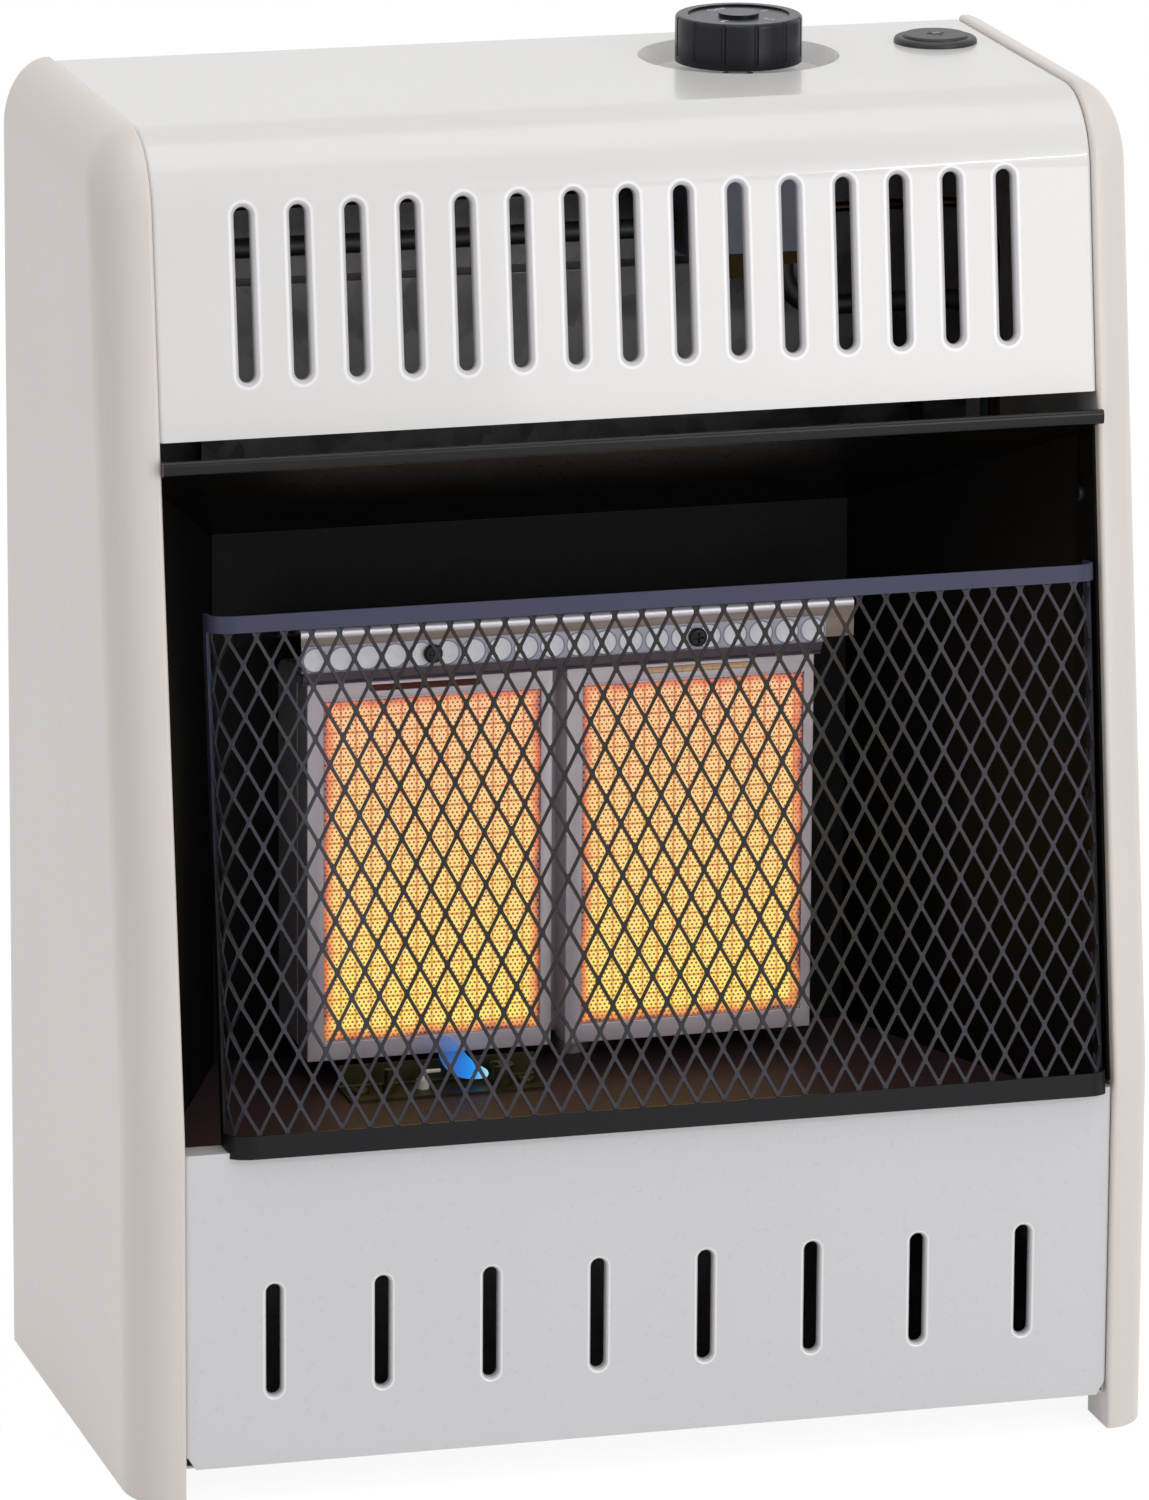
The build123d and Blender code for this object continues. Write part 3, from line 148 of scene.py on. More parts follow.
def cut(bm, point, normal, drop=False):
    """Slices a whole bmesh by a plane; what lies ahead of the plane may be dropped."""
    bmesh.ops.bisect_plane(bm, geom=bm.verts[:] + bm.edges[:] + bm.faces[:], dist=1e-7, plane_co=point,
                           plane_no=normal, clear_outer=drop)


def soften(bm, edges, width, segments):
    """Rounds edges by a width in mm."""
    bmesh.ops.bevel(bm, geom=edges, offset=width * MM, offset_type="OFFSET", segments=segments, profile=0.5,
                    affect="EDGES", material=-1, clamp_overlap=True)


def pull(bm, edges, step):
    """Extrudes open edges by a step in metres; gives the new vertices and edges."""
    new = bmesh.ops.extrude_edge_only(bm, edges=edges)["geom"]
    verts = [g for g in new if isinstance(g, bmesh.types.BMVert)]
    bmesh.ops.translate(bm, verts=verts, vec=step)
    return verts, [g for g in new if isinstance(g, bmesh.types.BMEdge)]


# ---------------------------------------------------------------- finishes
def burner_holes(tree, place):
    """Masks of a plaque's pattern: its pinholes, the rings round them, and the seams between its blocks."""
    hole_width, hole_height = 1.85, 3.2     # mm; the holes stand at the corners and middles of such cells

    def lattice(width, height, shift):
        """Offset in mm from the middle of a rectangular cell."""
        scaled = add(tree, "ShaderNodeVectorMath", {0: place, 1: (width * MM, 1.0, height * MM)},
                     operation="DIVIDE")
        moved = add(tree, "ShaderNodeVectorMath", {0: scaled.outputs[0], 1: shift}, operation="ADD")
        part = add(tree, "ShaderNodeVectorMath", {0: moved.outputs[0]}, operation="FRACTION")
        centred = add(tree, "ShaderNodeVectorMath", {0: part.outputs[0], 1: (0.5, 0.5, 0.5)},
                      operation="SUBTRACT")
        return add(tree, "ShaderNodeVectorMath", {0: centred.outputs[0], 1: (width, 0.0, height)},
                   operation="MULTIPLY").outputs[0]

    near = [add(tree, "ShaderNodeVectorMath", {0: lattice(hole_width, hole_height, shift)},
                operation="LENGTH").outputs["Value"] for shift in ((0.0, 0.5, 0.0), (0.5, 0.5, 0.5))]
    to_hole = add(tree, "ShaderNodeMath", {0: near[0], 1: near[1]}, operation="MINIMUM").outputs[0]
    hole, ring = [add(tree, "ShaderNodeMapRange", {"Value": to_hole, "From Min": full, "From Max": none,
                                                   "To Min": 1.0, "To Max": 0.0},
                      interpolation_type="SMOOTHSTEP").outputs[0]
                  for full, none in ((0.36, 0.64), (0.62, 0.95))]
    block = add(tree, "ShaderNodeVectorMath", {0: lattice(BLOCK_WIDTH, BLOCK_HEIGHT, (0.0, 0.5, 0.0))},
                operation="ABSOLUTE")
    split = add(tree, "ShaderNodeSeparateXYZ", {"Vector": block.outputs[0]})
    to_seam = add(tree, "ShaderNodeMath", {0: split.outputs["X"], 1: split.outputs["Z"]}, operation="MINIMUM")
    seam = add(tree, "ShaderNodeMapRange", {"Value": to_seam.outputs[0], "From Min": 0.1, "From Max": 0.72,
                                            "To Min": 0.7, "To Max": 0.0},
               interpolation_type="SMOOTHSTEP").outputs[0]
    return hole, ring, seam


def ceramic_glow():
    """Perforated cordierite tile burning on its face: pale rings round dark pinholes, dull red seams between
    the blocks of holes, hottest low down and fading to bare ceramic, with faint painted light, along the
    frame."""
    material, tree, shader = begin("burning_cordierite", Roughness=0.9, Specular_Ior_Level=0.2)
    place = add(tree, "ShaderNodeTexCoord").outputs["Object"]
    hole, ring, seam = burner_holes(tree, place)
    # how far inside the window's nearest edge
    split = add(tree, "ShaderNodeSeparateXYZ", {"Vector": place})
    right = add(tree, "ShaderNodeMath", {0: split.outputs["X"], 1: 0.0}, operation="GREATER_THAN").outputs[0]
    across = add(tree, "ShaderNodeMath", {0: split.outputs["X"]}, operation="ABSOLUTE")
    outer = add(tree, "ShaderNodeMapRange", {"Value": right, "To Min": WINDOW_OUT["left"] * MM,
                                             "To Max": WINDOW_OUT["right"] * MM})
    outer = add(tree, "ShaderNodeMath", {0: outer.outputs[0], 1: across.outputs[0]}, operation="SUBTRACT")
    across = add(tree, "ShaderNodeMath", {0: across.outputs[0], 1: WINDOW_IN * MM}, operation="SUBTRACT")
    across = add(tree, "ShaderNodeMath", {0: across.outputs[0], 1: outer.outputs[0]}, operation="MINIMUM")
    rise = add(tree, "ShaderNodeMath", {0: split.outputs["Z"], 1: (WINDOW_LOW + WINDOW_HIGH) / 2 * MM},
               operation="SUBTRACT")
    rise = add(tree, "ShaderNodeMath", {0: rise.outputs[0]}, operation="ABSOLUTE")
    rise = add(tree, "ShaderNodeMath", {0: (WINDOW_HIGH - WINDOW_LOW) / 2 * MM, 1: rise.outputs[0]},
               operation="SUBTRACT")
    inside = add(tree, "ShaderNodeMath", {0: across.outputs[0], 1: rise.outputs[0]}, operation="MINIMUM")
    # the fire's ragged edge, and how high up the window
    flicker = add(tree, "ShaderNodeTexNoise", {"Vector": place, "Scale": 1 / (9 * MM), "Detail": 2.0})
    ragged = add(tree, "ShaderNodeMath", {0: flicker.outputs["Fac"], 1: 5 * MM, 2: inside.outputs[0]},
                 operation="MULTIPLY_ADD")
    lit, warm = [add(tree, "ShaderNodeMapRange", {"Value": ragged.outputs[0], "From Min": none * MM,
                                                  "From Max": full * MM, "To Min": 0.0, "To Max": 1.0},
                     interpolation_type="SMOOTHSTEP").outputs[0] for none, full in ((2.6, 4.2), (3.6, 8))]
    height = add(tree, "ShaderNodeMapRange", {"Value": split.outputs["Z"], "From Min": 155 * MM,
                                              "From Max": 280 * MM, "To Min": 0.0, "To Max": 1.0}).outputs[0]
    # each shade low down and high up
    pale, between, dull = [
        add(tree, "ShaderNodeMix", {"Factor": height, "A": linear(low), "B": linear(high)},
            data_type="RGBA").outputs["Result"]
        for low, high in (("#fffa9c", "#ffe6ba"), ("#ffde58", "#f7aa6a"), ("#d68a2a", "#bf3f28"))]
    fire = between
    for share, shade in ((ring, pale), (seam, dull), (hole, linear("#8f3d0c"))):
        fire = add(tree, "ShaderNodeMix", {"Factor": share, "A": fire, "B": shade},
                   data_type="RGBA").outputs["Result"]
    edge = add(tree, "ShaderNodeMix", {"Factor": warm, "A": linear("#d2503c"), "B": fire},
               data_type="RGBA").outputs["Result"]
    cooled = add(tree, "ShaderNodeMix", {"Factor": 0.3, "A": edge, "B": fire},
                 data_type="RGBA").outputs["Result"]
    # painted light: the bare ceramic beyond the fire still emits a faint dark red
    fire_and_painted_band_glow = add(tree, "ShaderNodeMix", {"Factor": lit, "A": linear("#2a100c"), "B": cooled},
               data_type="RGBA").outputs["Result"]
    # the left tile's top edge is dark brown, the right one's cream
    bare, brim = [add(tree, "ShaderNodeMix", {"Factor": share, "A": linear(shade), "B": linear(other)},
                      data_type="RGBA").outputs["Result"]
                  for share, shade, other in ((hole, "#c9acac", "#8e342c"), (right, "#4a3026", "#f0cfa6"))]
    top = add(tree, "ShaderNodeMapRange", {"Value": split.outputs["Z"], "From Min": 280.8 * MM,
                                           "From Max": 281.4 * MM}).outputs[0]
    for share, shade in ((top, brim), (lit, linear("#5a4038"))):
        bare = add(tree, "ShaderNodeMix", {"Factor": share, "A": bare, "B": shade},
                   data_type="RGBA").outputs["Result"]
    pits = add(tree, "ShaderNodeBump", {"Strength": 0.6, "Distance": 0.3 * MM, "Height": hole}, invert=True)
    feed(tree, shader, {"Base Color": bare, "Emission Color": fire_and_painted_band_glow, "Normal": pits.outputs[0],
                        "Emission Strength": 1.0})
    return material


def paint_rim_highlight_and_shade(material, first, pitch, height, half_length, half_width, lip):
    """Enamel round a row of pressed slots (mm): painted shade on their lips and a painted highlight outline.
    """
    tree = material.node_tree
    base = tree.nodes["Principled BSDF"].inputs["Base Color"]
    row_half = 160               # mm; the slots reach no further than this from the middle
    place = add(tree, "ShaderNodeTexCoord").outputs["Object"]
    split = add(tree, "ShaderNodeSeparateXYZ", {"Vector": place})
    run = add(tree, "ShaderNodeMath", {0: split.outputs["X"], 1: first * MM}, operation="SUBTRACT")
    run = add(tree, "ShaderNodeMath", {0: run.outputs[0], 1: pitch / 2 * MM}, operation="PINGPONG")
    rise = add(tree, "ShaderNodeMath", {0: split.outputs["Z"], 1: height * MM}, operation="SUBTRACT")
    rise = add(tree, "ShaderNodeMath", {0: rise.outputs[0]}, operation="ABSOLUTE")
    rise = add(tree, "ShaderNodeMath", {0: rise.outputs[0], 1: (half_length - half_width) * MM},
               operation="SUBTRACT")
    rise = add(tree, "ShaderNodeMath", {0: rise.outputs[0], 1: 0.0}, operation="MAXIMUM")
    offset = add(tree, "ShaderNodeCombineXYZ", {"X": run.outputs[0], "Y": rise.outputs[0]}).outputs[0]
    reach = add(tree, "ShaderNodeVectorMath", {0: offset}, operation="LENGTH").outputs["Value"]
    across = add(tree, "ShaderNodeMath", {0: split.outputs["X"]}, operation="ABSOLUTE").outputs[0]
    near = add(tree, "ShaderNodeMath", {0: across, 1: row_half * MM}, operation="LESS_THAN").outputs[0]
    # painted highlight: a bright outline round each slot; painted shade: greyer enamel on the lip inside it
    for inner, outer, shade in ((2.3, 3.0, "#f6f5f6"), (1.3, 1.8, "#cfcbcf")):
        share = add(tree, "ShaderNodeMapRange", {"Value": reach, "From Min": (half_width + inner * lip) * MM,
                                                 "From Max": (half_width + outer * lip) * MM,
                                                 "To Min": 1.0, "To Max": 0.0})
        share = add(tree, "ShaderNodeMath", {0: share.outputs[0], 1: near}, operation="MULTIPLY").outputs[0]
        tone = add(tree, "ShaderNodeMix", {"Factor": share, "A": base.links[0].from_socket,
                                           "B": linear(shade)}, data_type="RGBA")
        tree.links.new(tone.outputs["Result"], base)


def guard_enamel():
    """Satin black enamel on the guard's frame, with a painted slate-blue reflection on its top bar."""
    material, tree, shader = begin("black_enamel_painted_reflection", Roughness=0.4, Specular_Ior_Level=0.2)
    place = add(tree, "ShaderNodeTexCoord").outputs["Object"]
    cloud = add(tree, "ShaderNodeTexNoise", {"Vector": place, "Scale": 1 / (25 * MM)})
    height = add(tree, "ShaderNodeSeparateXYZ", {"Vector": place}).outputs["Z"]
    # painted reflection: slate blue on the top bar, coming in with height
    drift = add(tree, "ShaderNodeMath", {0: cloud.outputs["Fac"], 1: 30 * MM, 2: height},
                operation="MULTIPLY_ADD")
    painted_reflection_share = add(tree, "ShaderNodeMapRange", {"Value": drift.outputs[0], "From Min": 260 * MM,
                                             "From Max": 350 * MM}).outputs[0]
    shade = add(tree, "ShaderNodeMix", {"Factor": painted_reflection_share, "A": linear("#0c0d10"), "B": linear("#404258")},
                data_type="RGBA").outputs["Result"]
    grain = add(tree, "ShaderNodeTexNoise", {"Vector": place, "Scale": 1 / (1.5 * MM)})
    bump = add(tree, "ShaderNodeBump", {"Strength": 0.1, "Distance": 0.1 * MM,
                                        "Height": grain.outputs["Fac"]})
    feed(tree, shader, {"Base Color": shade, "Normal": bump.outputs[0]})
    return material


def expanded_steel():
    """Slit and stretched steel, blackened: a blue-grey sheen on its strands, and painted shade, near black,
    where it hangs in front of the plaques."""
    material, tree, shader = begin("blackened_expanded_steel", Metallic=0.3, Specular_Ior_Level=0.4)
    place = add(tree, "ShaderNodeTexCoord").outputs["Object"]
    cloud = add(tree, "ShaderNodeTexNoise", {"Vector": place, "Scale": 1 / (8 * MM)}).outputs["Fac"]
    split = add(tree, "ShaderNodeSeparateXYZ", {"Vector": place})
    side = add(tree, "ShaderNodeMath", {0: split.outputs["X"]}, operation="ABSOLUTE").outputs[0]
    aside = add(tree, "ShaderNodeMapRange", {"Value": side, "From Min": 95 * MM,
                                             "From Max": 118 * MM}).outputs[0]
    below = add(tree, "ShaderNodeMapRange", {"Value": split.outputs["Z"], "From Min": 188 * MM,
                                             "From Max": 165 * MM}).outputs[0]
    outside_painted_shade = add(tree, "ShaderNodeMath", {0: aside, 1: below}, operation="MAXIMUM").outputs[0]
    sheen = add(tree, "ShaderNodeMix", {"Factor": cloud, "A": linear("#232129"), "B": linear("#302e39")},
                data_type="RGBA").outputs["Result"]
    # painted shade: near-black brown on the strands in front of the plaques
    shade = add(tree, "ShaderNodeMix", {"Factor": outside_painted_shade, "A": linear("#100b09"), "B": sheen},
                data_type="RGBA").outputs["Result"]
    spread = add(tree, "ShaderNodeMapRange", {"Value": cloud, "To Min": 0.38, "To Max": 0.52}).outputs[0]
    feed(tree, shader, {"Base Color": shade, "Roughness": spread})
    return material


def galvanised_sheet():
    """Hot-dipped zinc on rolled steel: dull grey metal whose crystals, some 9 mm across, differ in shade."""
    material, tree, shader = begin("hot_dipped_zinc", Metallic=1.0)
    place = add(tree, "ShaderNodeTexCoord").outputs["Object"]
    crystal = add(tree, "ShaderNodeTexVoronoi", {"Vector": place, "Scale": 1 / (9 * MM)})
    tone = add(tree, "ShaderNodeSeparateColor", {"Color": crystal.outputs["Color"]}).outputs["Red"]
    shade = add(tree, "ShaderNodeMix", {"Factor": tone, "A": linear("#a29fa1"), "B": linear("#bcb9bb")},
                data_type="RGBA").outputs["Result"]
    spread = add(tree, "ShaderNodeMapRange", {"Value": tone, "To Min": 0.36, "To Max": 0.5}).outputs[0]
    feed(tree, shader, {"Base Color": shade, "Roughness": spread})
    return material


def heat_tinted():
    """Steel bent over the flame: taupe and bronze oxide in uneven bands, a painted highlight on its top bend.
    """
    material, tree, shader = begin("heat_tinted_steel", Metallic=0.5)
    place = add(tree, "ShaderNodeTexCoord").outputs["Object"]
    lie = add(tree, "ShaderNodeMapping", {"Vector": place, "Scale": (0.25, 1.0, 1.6)})
    cloud = add(tree, "ShaderNodeTexNoise", {"Vector": lie.outputs[0], "Scale": 1 / (14 * MM), "Detail": 3.0})
    ramp = add(tree, "ShaderNodeValToRGB", {"Fac": cloud.outputs["Fac"]})
    stops = ramp.color_ramp.elements
    stops[0].position, stops[0].color = 0.3, linear("#77665f")
    stops[1].position, stops[1].color = 0.7, linear("#9c8d87")
    stops.new(0.5).color = linear("#8b7a72")
    grain = add(tree, "ShaderNodeTexNoise", {"Vector": place, "Scale": 1 / (1.2 * MM)})
    bump = add(tree, "ShaderNodeBump", {"Strength": 0.15, "Distance": 0.05 * MM,
                                        "Height": grain.outputs["Fac"]})
    height = add(tree, "ShaderNodeSeparateXYZ", {"Vector": place}).outputs["Z"]
    # painted highlight: a pale band along the top bend
    fold_highlight = add(tree, "ShaderNodeMapRange", {"Value": height, "From Min": 305.4 * MM,
                                            "From Max": 306.8 * MM}).outputs[0]
    shade = add(tree, "ShaderNodeMix", {"Factor": fold_highlight, "A": ramp.outputs["Color"], "B": linear("#e4e0ea")},
                data_type="RGBA").outputs["Result"]
    feed(tree, shader, {"Base Color": shade, "Normal": bump.outputs[0], "Roughness": 0.4})
    return material


def dimpled_aluminium():
    """Bright-rolled aluminium: a painted highlight in each pressed dimple and painted shade round its rim,
    satin between.
    """
    dimple_pitch, dimple_height = 10.7, 297     # mm along the strip, and up to the row
    material, tree, shader = begin("bright_rolled_aluminium", Metallic=0.1)
    place = add(tree, "ShaderNodeTexCoord").outputs["Object"]
    split = add(tree, "ShaderNodeSeparateXYZ", {"Vector": place})
    along = add(tree, "ShaderNodeMath", {0: split.outputs["X"], 1: dimple_pitch * MM}, operation="DIVIDE")
    along = add(tree, "ShaderNodeMath", {0: along.outputs[0]}, operation="FRACT")
    along = add(tree, "ShaderNodeMath", {0: along.outputs[0], 1: 0.5}, operation="SUBTRACT")
    along = add(tree, "ShaderNodeMath", {0: along.outputs[0], 1: dimple_pitch}, operation="MULTIPLY")
    up = add(tree, "ShaderNodeMath", {0: split.outputs["Z"], 1: dimple_height * MM}, operation="SUBTRACT")
    up = add(tree, "ShaderNodeMath", {0: up.outputs[0], 1: 1 / MM}, operation="MULTIPLY")
    offset = add(tree, "ShaderNodeCombineXYZ", {"X": along.outputs[0], "Y": up.outputs[0]}).outputs[0]
    reach = add(tree, "ShaderNodeVectorMath", {0: offset}, operation="LENGTH").outputs["Value"]
    # painted highlight inside each dimple; painted shade in a ring round its rim
    dimple, rim = [add(tree, "ShaderNodeMapRange", {"Value": reach, "From Min": full, "From Max": none,
                                                    "To Min": 1.0, "To Max": 0.0}).outputs[0]
                   for full, none in ((4.35, 4.65), (5.0, 5.2))]
    haze = add(tree, "ShaderNodeTexNoise", {"Vector": place, "Scale": 1 / (2.5 * MM)}).outputs["Fac"]
    satin, flat_and_rim_shade = [add(tree, "ShaderNodeMix", {"Factor": share, "A": linear(shade), "B": linear(other)},
                        data_type="RGBA").outputs["Result"]
                    for share, shade, other in ((haze, "#e6e7f4", "#ffffff"), (rim, "#b9b9c8", "#85859a"))]
    shade = add(tree, "ShaderNodeMix", {"Factor": dimple, "A": flat_and_rim_shade, "B": satin},
                data_type="RGBA").outputs["Result"]
    spread = add(tree, "ShaderNodeMapRange", {"Value": dimple, "To Min": 0.22, "To Max": 0.5}).outputs[0]
    feed(tree, shader, {"Base Color": shade, "Roughness": spread})
    return material


def pilot_flame_light():
    """Lean gas flame: pale azure at the burner's mouth, deep blue at the tail, where it thins out."""
    material, tree, shader = begin("gas_flame", Base_Color=linear("#000000"), Roughness=1.0)
    place = add(tree, "ShaderNodeTexCoord").outputs["Object"]
    split = add(tree, "ShaderNodeSeparateXYZ", {"Vector": place})
    along = add(tree, "ShaderNodeMapRange", {"Value": split.outputs["X"], "From Min": -33 * MM,
                                             "From Max": -52 * MM}).outputs[0]
    ramp = add(tree, "ShaderNodeValToRGB", {"Fac": along})
    stops = ramp.color_ramp.elements
    stops[0].position, stops[0].color = 0.0, linear("#a8ecff")
    stops[1].position, stops[1].color = 1.0, linear("#3c62a0")
    stops.new(0.35).color = linear("#1e96ee")
    stops.new(0.7).color = linear("#2f74cf")
    thin = add(tree, "ShaderNodeMapRange", {"Value": split.outputs["Z"], "From Min": 129 * MM,
                                            "From Max": 139 * MM, "To Min": 0.95, "To Max": 0.3})
    feed(tree, shader, {"Emission Color": ramp.outputs["Color"], "Alpha": thin.outputs[0],
                        "Emission Strength": 1.0})
    return material


finishes = {
    # Baked enamel on sheet steel: white, glossy, with the faint ripple of a sprayed coat.  A real ripple is
    # about 1 mm wide; here it is drawn at 5 mm so that it shows.
    "white_enamel": finish("white_baked_enamel", ("#e4e3e2", "#e1dfdd"), 90, (0.24, 0.28), 5, 0.04,
                           Coat_Weight=0.25, Coat_Roughness=0.05, Specular_Ior_Level=0.35),
    # The same enamel, in a cooler grey-white on the lower panel: painted shade.
    "panel_enamel": finish("white_enamel_painted_shade", ("#d7d6d8", "#d3d2d5"), 90, (0.26, 0.3), 5, 0.01,
                           Coat_Weight=0.3, Coat_Roughness=0.12),
    "zinc_sheet": galvanised_sheet(),
    # Vitreous enamel, black and glossy, with a slight wave from the sheet beneath.
    "hood_enamel": finish("black_vitreous_enamel", ("#070706", "#0a0a09"), 40, (0.24, 0.34), 6.0, 0.1,
                          Specular_Ior_Level=0.3),
    # Black stove enamel inside the firebox, dulled by heat to nearly no gloss.
    "black_enamel": finish("heat_dulled_enamel", ("#050504", "#0a0807"), 30, (0.5, 0.65), 3.0, 0.12,
                           Specular_Ior_Level=0.15),
    "grille_enamel": guard_enamel(),
    "mesh_steel": expanded_steel(),
    # Aluminised sheet steel: pale lilac-grey metal with a soft rolled grain across it.
    "burner_steel": finish("aluminised_steel", ("#cbc0c7", "#dfd4dc"), 22, (0.36, 0.5), 1.0, 0.2,
                           stretch=(0.15, 1, 1), Metallic=0.2),
    # Ceramic fibre board: off-white and matt, with loose fibres.
    "fibre_gasket": finish("ceramic_fibre", ("#e4dccf", "#cfc4b4"), 5, (0.85, 0.95), 0.5, 0.6,
                           stretch=(0.3, 1, 1)),
    "glowing_ceramic": ceramic_glow(),
    "polished_aluminium": dimpled_aluminium(),
    "heat_tinted_steel": heat_tinted(),
    # Turned brass, browned by age under a dulled skin.
    "brass": finish("turned_brass", ("#655230", "#504026"), 6, (0.25, 0.4), 0.4, 0.15, stretch=(1, 1, 6),
                    Metallic=1.0),
    # Gravity-cast aluminium: cool grey with a sandy skin.
    "cast_aluminium": finish("cast_aluminium", ("#9298a6", "#a9aebb"), 10, (0.42, 0.58), 0.9, 0.6,
                             Metallic=1.0),
    # Bright zinc plate on turned steel.
    "zinc_steel": finish("zinc_plated_steel", ("#c3c7cc", "#aeb2b8"), 3, (0.25, 0.38), 0.4, 0.15,
                         Metallic=1.0),
    # Hardened spring wire, dark and oiled.
    "spring_steel": finish("oiled_spring_wire", ("#6d6f74", "#84868b"), 2, (0.28, 0.4), 0.3, 0.15,
                           Metallic=1.0),
    # Moulded phenolic, navy black: semi-gloss with the fine pebble of its mould.
    "navy_plastic": finish("moulded_phenolic", ("#0a0b12", "#10121b"), 15, (0.26, 0.36), 0.7, 0.1,
                           Coat_Weight=0.08, Coat_Roughness=0.12, Coat_Tint=linear("#9fb4ff"),
                           Specular_Ior_Level=0.3),
    # Moulded nylon, black, a little duller.
    "black_plastic": finish("moulded_nylon", ("#1e1d20", "#27262a"), 12, (0.36, 0.5), 0.7, 0.2),
    # Glazed alumina, white and wet-looking.
    "white_ceramic": finish("glazed_alumina", ("#efece6", "#e2ddd3"), 5, (0.12, 0.2), 1.5, 0.05,
                            Coat_Weight=0.6),
    # Drawn copper tube, browned by heat and handling.
    "copper_tube": finish("drawn_copper", ("#6c4936", "#523729"), 12, (0.28, 0.42), 0.6, 0.1, Metallic=1.0),
    # Drawn aluminium tube, weathered grey and nearly matt.
    "aluminium_tube": finish("drawn_aluminium", ("#76787c", "#85878b"), 14, (0.5, 0.65), 0.5, 0.12,
                             Metallic=1.0),
    # Silicone-rubber sleeve on the igniter's lead: dark brick red and matt.
    "silicone_lead": finish("silicone_sleeve", ("#451a14", "#381510"), 8, (0.5, 0.62), 0.6, 0.1),
    # Black-oxide screws, with worn tops.
    "black_screws": finish("black_oxide_steel", ("#17171a", "#3a3a40"), 1.2, (0.3, 0.45), 0.3, 0.2,
                           Metallic=0.8),
}
paint_rim_highlight_and_shade(finishes["white_enamel"], first=0.0, pitch=21.55, height=463.8, half_length=33.0,
              half_width=3.2, lip=1.0)
paint_rim_highlight_and_shade(finishes["panel_enamel"], first=21.53, pitch=43.06, height=63.2, half_length=22.25,
              half_width=3.0, lip=0.55)
# The side casings' batch of the white enamel is warmer, towards almond.
almond_enamel = finish("almond_baked_enamel", ("#e3dbd5", "#dfd6d0"), 90, (0.28, 0.32), 6, 0.02,
                       Coat_Weight=0.1, Coat_Roughness=0.2, Specular_Ior_Level=0.25)
# The firebox floor has scorched to a reddish brown.
scorched_enamel = finish("scorched_enamel", ("#392b2f", "#4c3939"), 35, (0.5, 0.62), 2.0, 0.15,
                         Specular_Ior_Level=0.25)
# Smoke has stained the pilot's brass pieces to dark olive.
smoked_brass = finish("smoked_brass", ("#2b2819", "#514a29"), 9, (0.4, 0.55), 0.8, 0.2, stretch=(0.2, 1, 1),
                      Metallic=0.7)
# White marking paint on the knob: matt and slightly uneven.
marking_paint = finish("white_marking_paint", ("#dcdee4", "#c8cbd4"), 2, (0.5, 0.6), 0.5, 0.1)
# The igniter's moulded sign, left shiny against the matt button.
sign_gloss = finish("moulded_sign", ("#101012", "#18181b"), 3, (0.2, 0.3), 0.7, 0.1)
# The strip's apron lies in its shade, painted into its sheet as a dark violet grey.
apron_steel_painted_shade = finish("apron_steel_painted_shade", ("#665c6b", "#7c7280"), 12, (0.4, 0.5), 1.0, 0.2,
                         stretch=(0.15, 1, 1), Metallic=0.3)

own_finish = {"side_casing_left": almond_enamel, "side_casing_right": almond_enamel,
              "firebox_floor": scorched_enamel, "pilot_bracket": smoked_brass, "pilot_burner": smoked_brass,
              "thermocouple": smoked_brass, "pilot_screws": smoked_brass}
for name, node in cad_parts.items():
    slot_name = node.data.materials[0].name.split(".")[0]
    node.data.materials[0] = own_finish.get(name, finishes[slot_name])

# ---------------------------------------------------------------- guard's expanded metal
LEAN = atan(52 / 380)            # slope of the cabinet's front
GUARD_SHIFT = 7.5                # it hangs this far to the right of the middle
GUARD_FOOT = at(GUARD_SHIFT, 222, 138.2)
UP_SLOPE = Vector((0, sin(LEAN), cos(LEAN)))
INTO = Vector((0, cos(LEAN), -sin(LEAN)))
FLAT_HALF = 166.5                # to where the guard turns its corner
BEND = 8.1                       # corner radius at the middle of the mesh
BEND_BACK = 10.0                 # corner's centre behind the guard's face


def wrap(vertex):
    """Bends the flat mesh (mm: x along it, y up it, z outwards) round the guard's corners."""
    run, rise, out = vertex.co
    side = 1 if run > 0 else -1
    turn = min(max((abs(run) - FLAT_HALF) / BEND, 0.0), pi / 2)
    wing = max(abs(run) - FLAT_HALF - BEND * pi / 2, 0.0)
    across = min(abs(run), FLAT_HALF) + (BEND + out) * sin(turn)
    back = BEND_BACK - (BEND + out) * cos(turn) + wing
    vertex.co = GUARD_FOOT + (X_AXIS * side * across + UP_SLOPE * rise + INTO * back) * MM


